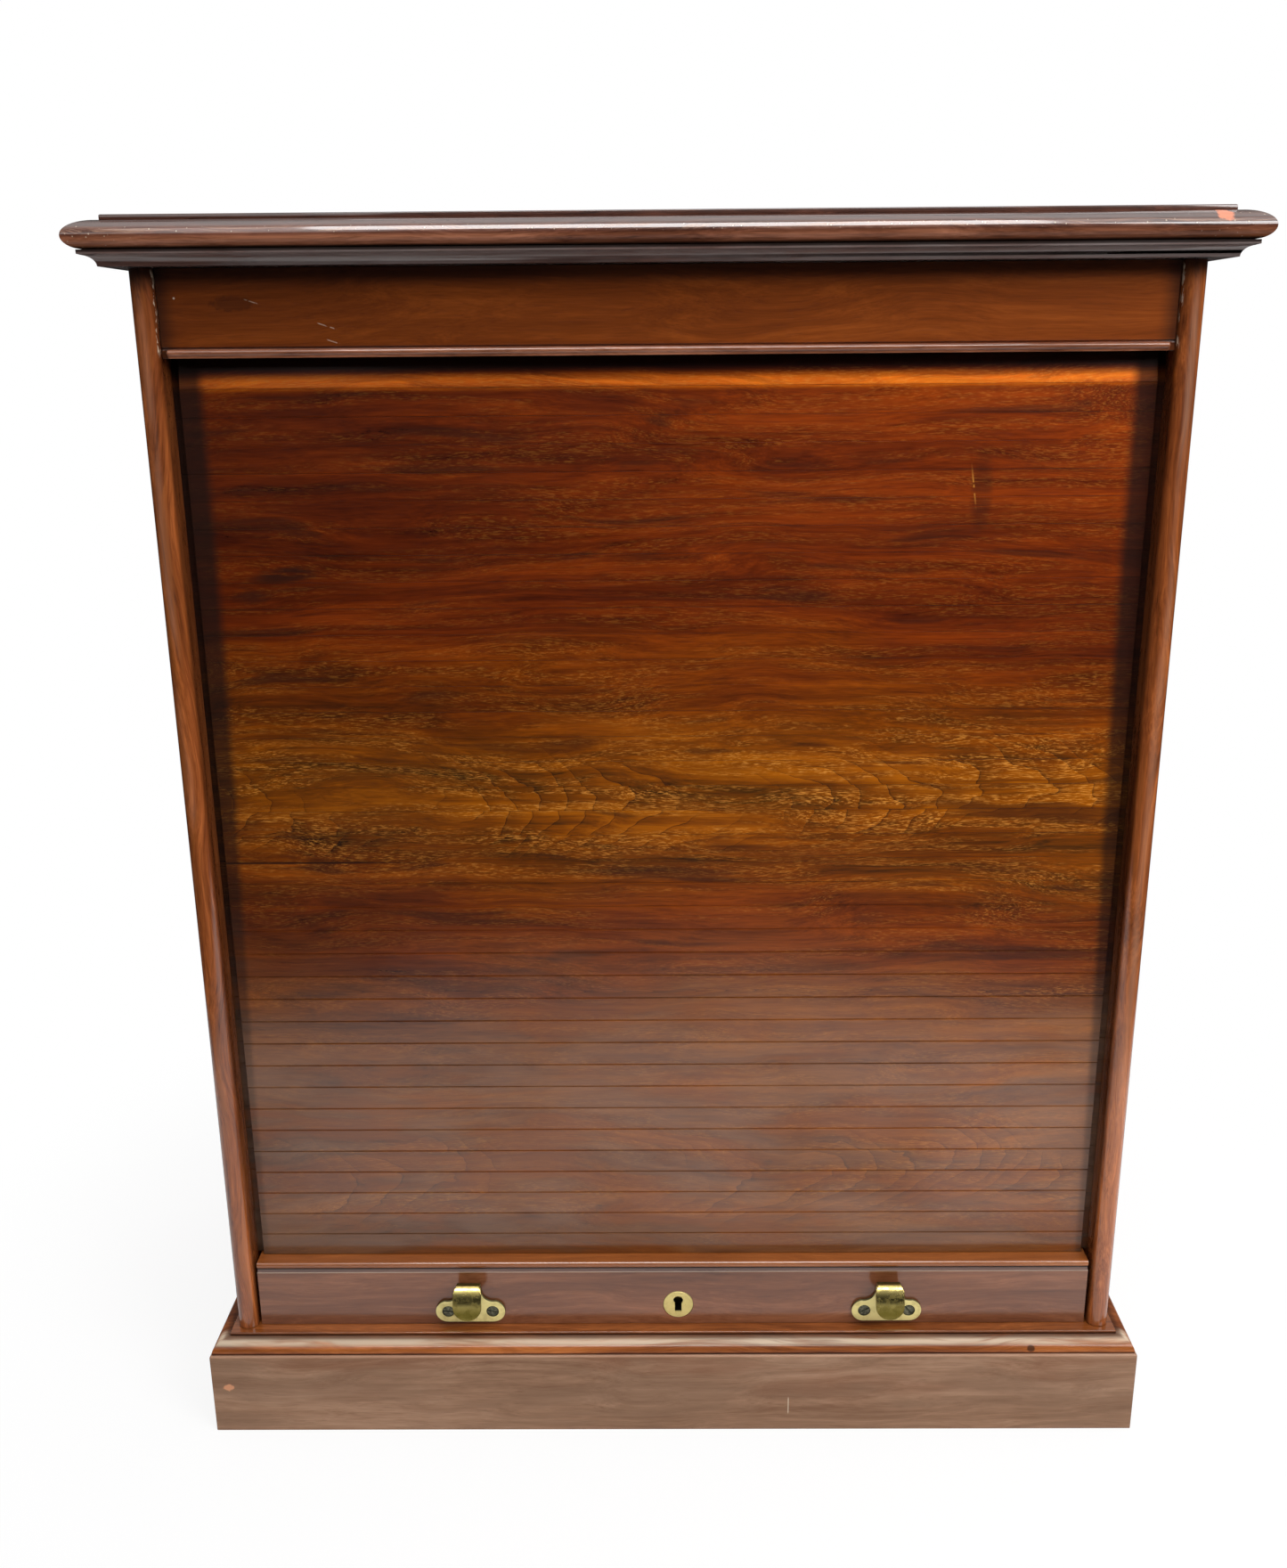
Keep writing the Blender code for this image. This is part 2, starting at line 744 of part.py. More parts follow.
def make_lock(rail, carrier, keyhole, bolt_carrier):
    """A case let into the rail's back, with a plate on the rail's lower edge and a bolt that drops."""
    front = front_y + lock_case_recess()
    back = front + lock_depth
    plate_top = rail_bottom + lock_plate_thickness
    middle = (front + back) / 2
    low = (lock_offset - lock_width / 2, front, rail_bottom)
    high = (lock_offset + lock_width / 2, back, rail_bottom + lock_height)
    case = add_object("lock_case", box(low, high), brass("lock_brass"), parent=carrier)
    plate_half = lock_plate_width / 2
    plate_low = (lock_offset - plate_half, front, rail_bottom)
    plate_high = (lock_offset + plate_half, back, plate_top)
    combine(case, add_object("lock_plate", box(plate_low, plate_high), None, parent=carrier), "UNION")
    combine(case, keyhole, "DIFFERENCE")
    grow = Vector((fit_gap, fit_gap, fit_gap))
    for name, start, end in (("lock_mortise", low, high), ("plate_mortise", plate_low, plate_high)):
        far = Vector(end) + grow + Vector((0, cut_past, 0))
        near = Vector(start) - grow - Vector((0, 0, cut_past))
        cut_box(rail, name, near, far)
    half = Vector((bolt_width / 2, bolt_thickness / 2, 0))
    foot = Vector((lock_offset, middle, rail_bottom))
    bolt = box(foot - half - foot, foot + half + Vector((0, 0, bolt_height)) - foot)
    add_object("lock_bolt", bolt, brass("bolt_brass"), foot, bolt_carrier)
    slack = Vector((bolt_clearance, bolt_clearance, 0))
    above = Vector((0, 0, bolt_height + bolt_clearance))
    below = Vector((0, 0, cut_past))
    cut_box(case, "bolt_way", foot - half - slack - below, foot + half + slack + above)


# ---- Hook lifts


def hook_plate_outline():
    """Two round lobes on a straight foot, drawn up in a hollow on each side to the neck."""
    radius = hook_lobe_radius
    lobe = hook_lobe_spacing / 2
    half_neck = hook_neck_width / 2
    right = arc((lobe, 0), radius, -90, 70, 8)
    start = right[-1]
    end = (half_neck, hook_shoulder_height)
    for i in range(1, 5):
        share = i / 5
        ease = share**0.5
        right.append((start[0] + (end[0] - start[0]) * ease, start[1] + (end[1] - start[1]) * share**1.8))
    right += [end, (half_neck, hook_neck_height)]
    return right + [(-x, z) for x, z in right[::-1]]


def hook_strap():
    """The strap: out of the neck, over in a half turn, down in front of the plate to a round tip."""
    thickness = hook_strap_thickness
    middle_y = -thickness / 2 - hook_bend_radius
    stations = [((-thickness / 2, hook_neck_height - hook_lap), (1, 0), hook_neck_width / 2)]
    for i in range(9):
        angle = math.pi * i / 8
        place_on = (
            middle_y + hook_bend_radius * math.cos(angle),
            hook_neck_height + hook_bend_radius * math.sin(angle),
        )
        width = hook_neck_width + (hook_strap_width - hook_neck_width) * min(1.0, i / 4)
        stations.append((place_on, (math.cos(angle), math.sin(angle)), width / 2))
    tip = hook_strap_width / 2
    for i in range(7):
        angle = math.pi / 2 * i / 6
        drop = hook_drop - tip + tip * math.sin(angle)
        half = max(tip * math.cos(angle), hook_tip_flat / 2)
        stations.append(((middle_y - hook_bend_radius, hook_neck_height - drop), (-1, 0), half))
    rings = []
    for (y, z), (out_y, out_z), half in stations:
        step = thickness / 2
        outer = (y + out_y * step, z + out_z * step)
        inner = (y - out_y * step, z - out_z * step)
        rings.append(
            [
                Vector((-half, outer[0], outer[1])),
                Vector((half, outer[0], outer[1])),
                Vector((half, inner[0], inner[1])),
                Vector((-half, inner[0], inner[1])),
            ]
        )
    return loft(rings)


def screw_profile(grow=0.0, proud=0.0):
    """A countersunk wood screw, its head's rim at y = 0 and its point going back."""
    head = screw_head_radius + grow
    shank = screw_shank_radius + grow
    return [
        (screw_crown_radius + grow, -screw_dome - proud),
        (head, -proud),
        (head, screw_rim),
        (shank, screw_head_depth + grow),
        (shank, screw_length + grow),
    ]


def make_hooks(rail, carrier):
    face = front_y + rail_recess
    front = face - fit_gap - hook_plate_thickness
    for side, name in ((-1, "left"), (1, "right")):
        where = Vector((lock_offset + side * hook_spacing / 2, face - fit_gap, hook_z))
        shape = prism(hook_plate_outline(), "Y", -hook_plate_thickness, 0)
        hook = add_object(f"hook_lift_{name}", shape, brass("hook_brass"), where, carrier)
        strap = add_object(f"hook_strap_{name}", hook_strap(), None, where, carrier)
        combine(hook, strap, "UNION")
        for end, label in ((-1, "outer" if side < 0 else "inner"), (1, "inner" if side < 0 else "outer")):
            seat = Vector((where.x + end * screw_spacing / 2, front, hook_z))
            screw_name = f"hook_screw_{name}_{label}"
            steel = material("screw_steel", (0.1, 0.11, 0.1), 0.4, 0.8)
            screw = add_object(screw_name, turned(screw_profile()), steel, seat, carrier)
            slot = box(
                (-screw_head_radius - fit_gap, -cut_past, -screw_slot_width / 2),
                (screw_head_radius + fit_gap, screw_slot_depth - screw_dome, screw_slot_width / 2),
            )
            combine(screw, add_object(f"{screw_name}_slot", slot, None, seat, carrier), "DIFFERENCE")
            hole = turned(screw_profile(screw_clearance, screw_hole_proud))
            cutter = add_object(f"{screw_name}_hole", hole, None, seat, carrier)
            combine(hook, cutter, "DIFFERENCE")
            combine(rail, cutter, "DIFFERENCE")


def make_lift():
    """All that rises with the tambour's lower edge, on one carrier, and the bolt on another."""
    carrier = add_empty("lift_slide", (0, front_y + groove_recess, rail_bottom))
    bolt_carrier = add_empty("bolt_slide", (lock_offset, front_y + lock_case_recess(), rail_bottom))
    bolt_carrier.parent = carrier
    bolt_carrier.matrix_parent_inverse = carrier.matrix_world.inverted()
    bpy.context.view_layer.update()
    rail = make_lift_rail(carrier)
    keyhole = make_escutcheon(rail, carrier)
    make_lock(rail, carrier, keyhole, bolt_carrier)
    make_hooks(rail, carrier)


def main():
    for item in list(bpy.data.objects):
        bpy.data.objects.remove(item, do_unlink=True)
    make_plinth()
    make_base_board()
    make_sides()
    make_inner_case()
    make_frieze()
    make_bed_moulding()
    make_top_board()
    make_tambour()
    make_lift()


main()
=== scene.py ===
"""Dresses the tambour cabinet's plain solids: worked timber, slats on canvas, brass fittings and old polish.

Units are metres, +Z is up and the front faces -Y. "Overhang" is a distance out from the faces of the side
boards.
"""

import json
import math
import random

import bmesh
import bpy
from bpy.props import FloatProperty, FloatVectorProperty, IntProperty, PointerProperty
from mathutils import Matrix, Vector


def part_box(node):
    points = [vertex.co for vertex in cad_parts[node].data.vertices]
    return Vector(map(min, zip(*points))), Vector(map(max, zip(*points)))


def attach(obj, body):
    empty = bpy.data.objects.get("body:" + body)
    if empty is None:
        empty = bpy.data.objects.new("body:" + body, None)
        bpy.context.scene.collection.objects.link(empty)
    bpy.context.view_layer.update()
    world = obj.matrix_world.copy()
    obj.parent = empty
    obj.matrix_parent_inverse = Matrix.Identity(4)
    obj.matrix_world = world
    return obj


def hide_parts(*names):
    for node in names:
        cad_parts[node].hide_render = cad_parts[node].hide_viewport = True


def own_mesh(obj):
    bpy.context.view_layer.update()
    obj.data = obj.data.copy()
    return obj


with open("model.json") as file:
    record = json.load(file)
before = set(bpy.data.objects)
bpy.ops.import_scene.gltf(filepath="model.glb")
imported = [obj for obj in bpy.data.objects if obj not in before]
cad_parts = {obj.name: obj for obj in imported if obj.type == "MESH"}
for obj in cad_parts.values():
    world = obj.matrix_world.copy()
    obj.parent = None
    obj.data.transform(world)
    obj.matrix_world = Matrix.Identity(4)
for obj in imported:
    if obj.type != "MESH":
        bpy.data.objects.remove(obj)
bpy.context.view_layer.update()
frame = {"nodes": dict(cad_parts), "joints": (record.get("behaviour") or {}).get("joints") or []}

bl_info = {
    "name": "Tambour Cabinet Finish",
    "version": (1, 0, 0),
    "blender": (4, 5, 0),
    "location": "View3D > Sidebar > Cabinet",
    "description": "Worked timber, tambour slats, brass fittings and old polish for a small tambour cabinet",
    "category": "Object",
}

SIDE_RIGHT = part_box("side_right")
HALF_WIDTH = SIDE_RIGHT[1].x
INNER_HALF_WIDTH = SIDE_RIGHT[0].x
FRONT_Y, BACK_Y = SIDE_RIGHT[0].y, SIDE_RIGHT[1].y
TOP, BASE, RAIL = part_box("top_board"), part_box("base_board"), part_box("lift_rail")
CORNICE, FRIEZE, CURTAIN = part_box("cornice_front"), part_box("frieze_rail"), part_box("tambour_curtain")
MOULDING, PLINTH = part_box("lift_rail_moulding"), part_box("plinth_front")
TRAVELS = {joint["name"]: joint["range_m"][1] for joint in frame["joints"]}
LIFT_TRAVEL, BOLT_TRAVEL = TRAVELS["tambour_lift"], TRAVELS["lock_bolt_throw"]
FIT_GAP = 0.0003  # left between two pieces that touch
CUT_PAST = 0.002  # how far a cutter reaches out of the piece
CUTTER_DEPTH = 0.006  # enough to go through any of the brass plates
BRASS_RIM = 0.0004  # how far the edges of screws and escutcheon are rounded
PLATE_ARRIS, STRAP_ARRIS = 0.0003, 0.0005  # the same for the two parts of a hook lift
BEAD_ARRIS, TRIM_ARRIS = 0.00015, 0.0002  # the same for the frieze's bead and the lift rail's moulding
MERGE = 0.00001  # points nearer than this are made one
SAME_PLANE = 0.000001  # points nearer to a plane than this lie in it
FACING = 0.9  # a face whose normal has at least this share along an axis faces that way
TAIL_LAP = 0.09  # extra height of a slat on the curve, as a share of the pitch
SCRATCH_WIDTH = 0.0004
GRAIN_RELIEF = 0.00007  # height of the grain's bumps
SEED_STEPS = (0.37, 0.71, 1.13)  # how far each seed shifts the grain along its three directions
FLOOR_SIZE = 12
NEAR_WHITE = 0.86  # share of plain white that the camera sees on the floor near the object
SENSOR_WIDTH = 36  # in millimetres


# ---- Sizes and colours that can be set


def paint(red, green, blue):
    """A colour as it is seen on a screen, from 0 to 255, in the linear values that a shader takes."""
    shares = (level / 255 for level in (red, green, blue))
    return tuple(s / 12.92 if s <= 0.04045 else ((s + 0.055) / 1.055) ** 2.4 for s in shares)


def number(description, default, **settings):
    return FloatProperty(description=description, default=default, **settings)


def length(description, default):
    return number(description, default, min=0, unit="LENGTH")


def colour(description, *levels):
    shade = paint(*levels)
    return FloatVectorProperty(description=description, default=shade, size=3, min=0, max=1, subtype="COLOR")


class CabinetSizes(bpy.types.PropertyGroup):
    """Sizes of the details that are worked on the boards."""

    arris: length("How far the boards' edges are worn round", 0.0006)
    nose_height: length("Widest point of the top board, above its underside", 0.0061)
    nose_undercut: length("How far the underside of the nose runs in", 0.0079)
    fillet_overhang: length("Overhang of the raised flat of the top board", 0.0081)
    fillet_height: length("Step up from the nose to the flat of the top board", 0.0028)
    cornice_foot: length("Overhang of the bed moulding's lower edge", 0.0107)
    cornice_fillet: length("Height of the square edge over the hollow", 0.0013)
    cornice_inside: length("How far the bed moulding reaches in over the sides", 0.0220)
    ledge_overhang: length("Overhang of the flat round the side boards' feet", 0.0038)
    ovolo_spring: length("Overhang of the top of the base board's ovolo", 0.0052)
    ovolo_drop: length("From the ledge down to the top of the ovolo", 0.0024)
    ovolo_foot: length("Square edge under the ovolo", 0.0012)
    slat_pitch: length("Height of one slat with its joint", 0.01522)
    slat_thickness: length("From the canvas to a slat's face", 0.0085)
    slat_joint: length("Widest joint between two slats", 0.00020)
    slat_arris: length("Radius on the long edges of a slat", 0.00012)
    shoulder_inset: length("From the side board's face to a slat's shoulder", 0.0045)
    tongue_set_back: length("From the face of a slat to the face of its tongue", 0.0040)
    tongue_thickness: length("Thickness of a slat's tongue", 0.0038)
    canvas_thickness: length("Thickness of the cloth behind the slats", 0.0006)
    canvas_tab: length("Cloth tacked down behind the lift rail", 0.0140)
    curve_radius: length("Bend of the groove over the top, at its middle", 0.042)
    curve_rise: length("Height that the curved slats take up over the straight run", 0.048)
    tail_slats: IntProperty(description="Slats that lie round the curve", default=4, min=1)
    tail_turn: number("How far round the curve they lie, in degrees", 80)
    lobe_radius: length("Round ends of a hook lift's plate", 0.0078)
    lobe_spacing: length("Between the middles of the two lobes", 0.0298)
    flare_radius: length("Hollow between a lobe and the neck", 0.0075)
    plate_thickness: length("Thickness of a hook lift's plate", 0.0018)
    hook_rise: length("From the screws up to the middle of the bend", 0.0160)
    neck_width: length("Where the strap leaves the plate", 0.0150)
    strap_width: length("Widest part of a hook lift's strap", 0.0185)
    strap_thickness: length("Thickness of a hook lift's strap", 0.0018)
    neck_clearance: length("Top of the plate's neck below the middle of the bend", 0.0014)
    strap_drop: length("From the middle of the bend down to the tip", 0.0120)
    screw_spacing: length("Between the two screws of a hook lift", 0.0290)
    screw_radius: length("Radius of a screw's hole in the plate", 0.0040)
    bend_radius: length("Bend of a hook lift, at the strap's middle", 0.0078)
    keyhole_rise: length("Round part of the keyhole above the escutcheon's middle", 0.0031)
    keyhole_radius: length("Round part of the keyhole", 0.0032)
    keyhole_slot: length("Width of the keyhole's slot", 0.0044)
    keyhole_drop: length("From the round part's middle to the foot of the slot", 0.0087)


class CabinetColours(bpy.types.PropertyGroup):
    """Colours of the timber, cloth and metal."""

    mahogany: colour("Middle tone of the lower slats", 106, 54, 8)
    mahogany_deep: colour("Dark bands of the polished timber", 44, 18, 8)
    golden: colour("Golden bands in the slats", 114, 56, 1)
    heart: colour("Orange-red timber in the upper slats", 93, 31, 1)
    # Painted highlight for the tilted slat under the frieze, which catches the light.
    ember: colour("Bright slat just under the frieze", 226, 108, 14)
    olive: colour("Dark bands between the golden ones", 52, 31, 5)
    fleck: colour("Short pale flecks in the grain", 208, 138, 54)
    frieze: colour("Middle tone of the frieze rail", 106, 48, 10)
    stile: colour("Middle tone of the side boards", 138, 72, 31)
    rail: colour("Middle tone of the lift rail", 113, 66, 40)
    amber: colour("Ledges and mouldings where the polish is thin", 140, 78, 34)
    top: colour("Middle tone of the darkened top board and its mouldings", 82, 44, 30)
    ruddy: colour("Underside of the nose, where the polish is clear", 134, 80, 54)
    # Also painted as a highlight down the side boards' fronts.
    rubbed: colour("Worn polish along the nose of the top board", 176, 136, 112)
    # Painted reflection: a greyish sheen laid into the colour of the nose, the bed moulding and the lift
    # rail.
    bloom: colour("Greyish bloom of old wax on the bed moulding", 132, 122, 120)
    faded: colour("Middle tone of the dull plinth", 142, 109, 86)
    bare: colour("Unstained wood in chips and worn edges", 196, 138, 104)
    chip: colour("Fresh wood in the bruise at the right corner", 206, 134, 108)
    # Real dirt in the slat joints and a crack, and painted shade and shadow in corners, under mouldings and
    # along edges.
    grime: colour("Old wax and dirt in the corners", 24, 12, 7)
    # Painted shade seen through the keyhole.
    soot: colour("Black inside the keyhole", 10, 9, 8)
    # Also painted as the highlight on the base board's ovolo.
    filler: colour("Pale filler and scratches", 206, 188, 164)
    backing: colour("Unpolished boards of the back", 118, 82, 54)
    deal: colour("Unpolished softwood of the blocks and the back", 158, 122, 84)
    canvas: colour("Glued linen behind the slats", 120, 104, 82)
    brass: colour("Polished brass", 212, 194, 124)
    satin: colour("Pale flat brass of the plates", 226, 212, 142)
    # Also painted as the dark reflection down the hooks' straps.
    patina: colour("Olive brown down the middle of the hooks", 92, 82, 28)
    tarnish: colour("Dull brown-green film on old brass", 128, 112, 54)
    steel: colour("Oxidised steel of the screws", 96, 98, 82)


class StudioSettings(bpy.types.PropertyGroup):
    """The camera's place and the level of the lamps."""

    camera_place: FloatVectorProperty(
        description="Where the camera stands",
        default=(-0.0021, -0.9809, 0.6811),
        size=3,
        subtype="TRANSLATION",
    )
    camera_pitch: number("How far the camera looks down", math.radians(16.71), unit="ROTATION")
    camera_yaw: number("How far the camera turns left", math.radians(0.49), unit="ROTATION")
    camera_roll: number("How far the camera tips", math.radians(-0.47), unit="ROTATION")
    camera_lens: number("Focal length in millimetres", 33.33, min=1)
    camera_shift: number("Sideways shift of the lens", -0.0065)
    lamp_level: number("Share of full light on the object", 1.0, min=0)
    sky_level: number("Light from overhead", 0.52, min=0)
    room_level: number("Light from all round", 0.02, min=0)


# ---- Materials


def sums(operation):
    """A method that adds the Math node for this operation."""
    return lambda self, *others: self.nodes.math(operation, self, *others)


class Wire:
    """A node's output that takes part in sums, each of which adds its Math node."""

    __add__ = __radd__ = sums("ADD")
    __sub__ = sums("SUBTRACT")
    __mul__ = __rmul__ = sums("MULTIPLY")
    __truediv__ = sums("DIVIDE")
    __pow__ = sums("POWER")
    size = sums("ABSOLUTE")
    fraction = sums("FRACT")
    wave = sums("SINE")
    at_least = sums("MAXIMUM")

    def __init__(self, nodes, socket):
        self.nodes = nodes
        self.socket = socket

    def __rsub__(self, other):
        return self.nodes.math("SUBTRACT", other, self)

    def ease(self, start, end):
        """0 up to the start and 1 from the end on, or the other way round if the end is lower."""
        inputs = {"Value": self, "From Min": min(start, end), "From Max": max(start, end)}
        inputs |= {"To Min": float(end < start), "To Max": float(end >= start)}
        return self.nodes.node("ShaderNodeMapRange", {"interpolation_type": "SMOOTHSTEP"}, inputs)

    def around(self, middle, reach):
        """1 at the middle, falling to 0 at this distance from it."""
        return (self - middle).size().ease(reach, 0)


class Nodes:
    """A node tree, with one method that makes all of its nodes."""

    def __init__(self, tree):
        self.tree = tree

    def node(self, kind, settings=None, inputs=None, output=0):
        made = self.tree.nodes.new(kind)
        for name, value in (settings or {}).items():
            if name == "stops":
                self.set_stops(made.color_ramp, value)
            else:
                setattr(made, name, value)
        for key, value in (inputs or {}).items():
            self.feed(made.inputs[key], value)
        return Wire(self, made.outputs[output])

    def feed(self, socket, value):
        if isinstance(value, Wire):
            self.tree.links.new(value.socket, socket)
        elif isinstance(value, (int, float)):
            socket.default_value = value
        else:
            socket.default_value = (*value, 1.0) if socket.type == "RGBA" else tuple(value)

    def set_stops(self, ramp, stops):
        while len(ramp.elements) < len(stops):
            ramp.elements.new(1.0)
        for element, (position, shade) in zip(ramp.elements, stops):
            element.position = position
            element.color = (*shade, 1.0)

    def math(self, operation, *values):
        return self.node("ShaderNodeMath", {"operation": operation}, dict(enumerate(values)))

    def split(self, vector):
        return [self.node("ShaderNodeSeparateXYZ", inputs={0: vector}, output=i) for i in range(3)]

    def join(self, x, y, z):
        return self.node("ShaderNodeCombineXYZ", inputs={0: x, 1: y, 2: z})

    def stretch(self, vector, scale):
        return self.node("ShaderNodeVectorMath", {"operation": "MULTIPLY"}, {0: vector, 1: scale})

    def noise(self, vector, scale, detail=2.0, roughness=0.5):
        inputs = {"Vector": self.stretch(vector, scale), "Scale": 1.0}
        inputs |= {"Detail": detail, "Roughness": roughness}
        return self.node("ShaderNodeTexNoise", {"noise_dimensions": "3D"}, inputs)

    def flecks(self, vector, scale):
        """Distance from the middle of the nearest of many scattered cells."""
        inputs = {"Vector": self.stretch(vector, scale), "Scale": 1.0}
        return self.node("ShaderNodeTexVoronoi", {"feature": "F1"}, inputs)

    def chance(self, value):
        """A steady random number for each whole value."""
        return self.node("ShaderNodeTexWhiteNoise", {"noise_dimensions": "1D"}, {"W": value})

    def blend(self, factor, first, second, mode="MIX"):
        settings = {"data_type": "RGBA", "blend_type": mode, "clamp_factor": True}
        return self.node("ShaderNodeMix", settings, {0: factor, 6: first, 7: second}, output=2)

    def ramp(self, value, stops):
        return self.node("ShaderNodeValToRGB", {"stops": stops}, {0: value})

    def shade(self, tint, level):
        """The tint made lighter or darker by a level that is 1 where it stays."""
        return self.blend(1.0, tint, self.join(level, level, level), "MULTIPLY")


class Finish(Nodes):
    """A material on the standard shader."""

    def __init__(self, name, **constants):
        self.material = bpy.data.materials.new(name)
        self.material.use_nodes = True
        super().__init__(self.material.node_tree)
        self.shader = self.tree.nodes["Principled BSDF"]
        self.surface(**constants)

    def surface(self, **inputs):
        """Sets or links the shader's own sockets, whose names are written with underscores here."""
        for name, value in inputs.items():
            self.feed(self.shader.inputs[name.replace("_", " ").title().replace("Ior", "IOR")], value)
        return self

    def place(self):
        return self.node("ShaderNodeTexCoord", output="Object")

    def bump(self, height, distance):
        return self.node("ShaderNodeBump", None, {"Height": height, "Distance": distance, "Strength": 1.0})


def tones(shade, deep=0.30, bright=2.0):
    """Ramp stops about a middle tone, with less change in red than in blue, as timber has."""
    darker = tuple(level * deep ** (1 + 0.25 * i) for i, level in enumerate(shade))
    lighter = tuple(min(1.0, level * bright ** (1 + 0.2 * i)) for i, level in enumerate(shade))
    return [(0.0, darker), (0.5, tuple(shade)), (1.0, lighter)]


class Timber(Finish):
    """Timber under old polish, with clouds, streaks, fibres and pores along the grain."""

    def __init__(self, name, along, seed, stops, coat, figure):
        super().__init__(name, coat_roughness=0.07, coat_ior=1.6, specular_ior_level=0.06)
        self.x, self.y, self.z = self.split(self.place())
        order = {"X": (self.x, self.y, self.z), "Y": (self.y, self.x, self.z), "Z": (self.z, self.x, self.y)}
        run, first, second = (wire + seed * step for wire, step in zip(order[along], SEED_STEPS))
        sway = (self.noise(self.join(run, first, second), (5, 17, 17), 2) - 0.5) * 0.045
        self.line = self.join(run, first + sway, second + sway)
        self.clouds = self.noise(self.line, (4.5, 55, 55), 3, 0.55) - 0.5
        self.streaks = self.noise(self.line, (9, 290, 290), 3, 0.6) - 0.5
        self.fibres = self.noise(self.line, (60, 1250, 1250), 2, 0.6) - 0.5
        self.tone = (self.clouds * 2.3 + self.streaks * 1.7 + self.fibres * 1.1) * figure + 0.5
        self.pores = self.grain(80, 1400, 0.60, 0.72, 1, 0.5)
        self.tint = self.ramp(self.tone, stops)
        self.tint = self.blend(self.pores * 0.5 * figure, self.tint, stops[0][1])
        self.height = self.fibres * 0.25 - self.pores * 0.5
        self.gloss = coat
        self.roughness = self.fibres * 0.25 + self.pores * 0.15 + 0.45

    def grain(self, along, across, low, high, detail=3, roughness=0.6):
        """Streaks, so many to a metre along and across: 0 up to the low level and 1 from the high one."""
        return self.noise(self.line, (along, across, across), detail, roughness).ease(low, high)

    def mark(self, mask, shade, dull=0.0, depth=0.0):
        """Lays another colour over the timber where the mask is 1, duller and deeper if asked."""
        self.tint = self.blend(mask, self.tint, shade)
        if dull:
            self.gloss = self.gloss * (1 - mask * dull)
            self.roughness = self.roughness + mask * (dull * 0.3)
        if depth:
            self.height = self.height - mask * depth

    def spot(self, middle, reach, ragged=0.9):
        """1 inside an uneven patch, seen from the front, with these half widths."""
        uneven = self.noise(self.place(), (330, 330, 330), 3) - 0.5
        across, up = (self.x - middle[0]) / reach[0], (self.z - middle[1]) / reach[1]
        return (across * across + up * up + uneven * ragged * 2).ease(1.15, 0.55)

    def scratch(self, middle, reach, slope):
        """1 along a thin broken line, seen from the front, this far to each side of its middle."""
        off = (self.z - middle[1] - (self.x - middle[0]) * slope).size()
        line = off.ease(SCRATCH_WIDTH, SCRATCH_WIDTH * 0.3) * self.x.around(middle[0], reach).ease(0.0, 0.3)
        return line * self.noise(self.place(), (420, 420, 420)).ease(0.36, 0.50)

    def close(self):
        """Links what has been laid up to the shader."""
        self.surface(base_color=self.tint, roughness=self.roughness, coat_weight=self.gloss)
        return self.surface(normal=self.bump(self.height, GRAIN_RELIEF)).material


def polished(name, along, seed, shade, figure=0.8, coat=1.0, deep=0.30, bright=2.0):
    return Timber(name, along, seed, tones(shade, deep, bright), coat, figure)


def top_timber(colours):
    """Dark polish, rubbed through to paler wood along the nose and bruised at one corner."""
    wood = polished("top_wood", "X", 1, colours.top)
    over = (wood.x.size() - HALF_WIDTH).at_least(FRONT_Y - wood.y)
    nose = over.ease(0.0150, 0.0200)
    lower = wood.z.ease(TOP[0].z + 0.0066, TOP[0].z + 0.0040)
    wood.mark(nose * lower * 0.85, wood.ramp(wood.tone, tones(colours.ruddy)), 0.9)
    worn = wood.z.around(TOP[0].z + 0.0083, 0.0026)
    wood.mark(nose * worn * wood.grain(22, 900, 0.46, 0.66, 4, 0.75) * 0.62, colours.rubbed, 0.55)
    ends = wood.x.size().ease(0.255, 0.300)
    wood.mark(nose * ends * wood.grain(12, 90, 0.42, 0.60, 3, 0.5) * 0.45, colours.amber, 0.2)
    # Painted sheen: the upper half of the nose is made greyer, as a reflection of the bright overhead.
    wood.mark(nose * wood.z.ease(TOP[0].z + 0.0086, TOP[0].z + 0.0108) * 0.42, colours.bloom)
    specks = wood.flecks(wood.place(), (330, 330, 330)).ease(0.18, 0.08)
    wood.mark(nose * worn.at_least(ends * 0.8) * specks * 0.7, colours.filler, 0.6)
    # Painted shadow along the underside of the nose.
    wood.mark(wood.z.ease(TOP[0].z + 0.0016, TOP[0].z + 0.0004) * 0.9, colours.grime, 0.9)
    wood.mark(wood.z.ease(TOP[1].z - 0.0032, TOP[1].z - 0.0024) * 0.35, colours.grime)
    bruise = wood.spot((0.283, 0.7438), (0.0046, 0.0032)) * over.ease(0.0090, 0.0110)
    wood.mark(bruise, colours.chip, 0.8, 0.5)
    return wood


def cathedral(wood, x, z):
    """Growth lines as arches on their sides, along two wandering heart lines, and where they show."""
    wander = wood.noise(wood.join(x, 0, 0), (8, 1, 1), 2) - 0.5
    off = z - (z.ease(0.285, 0.315) * 0.250 + 0.172 + wander * 0.10)
    waver = wood.noise(wood.place(), (40, 90, 90), 2) - 0.5
    swell = wood.noise(wood.place(), (7, 9, 9), 1) - 0.5
    rings = x * 44 + off * off * 2100 + waver * 0.9 + swell * 5
    shown = off.size().ease(0.045, 0.012) * wood.noise(wood.place(), (7, 14, 14), 2).ease(0.36, 0.52)
    return rings.fraction(), shown


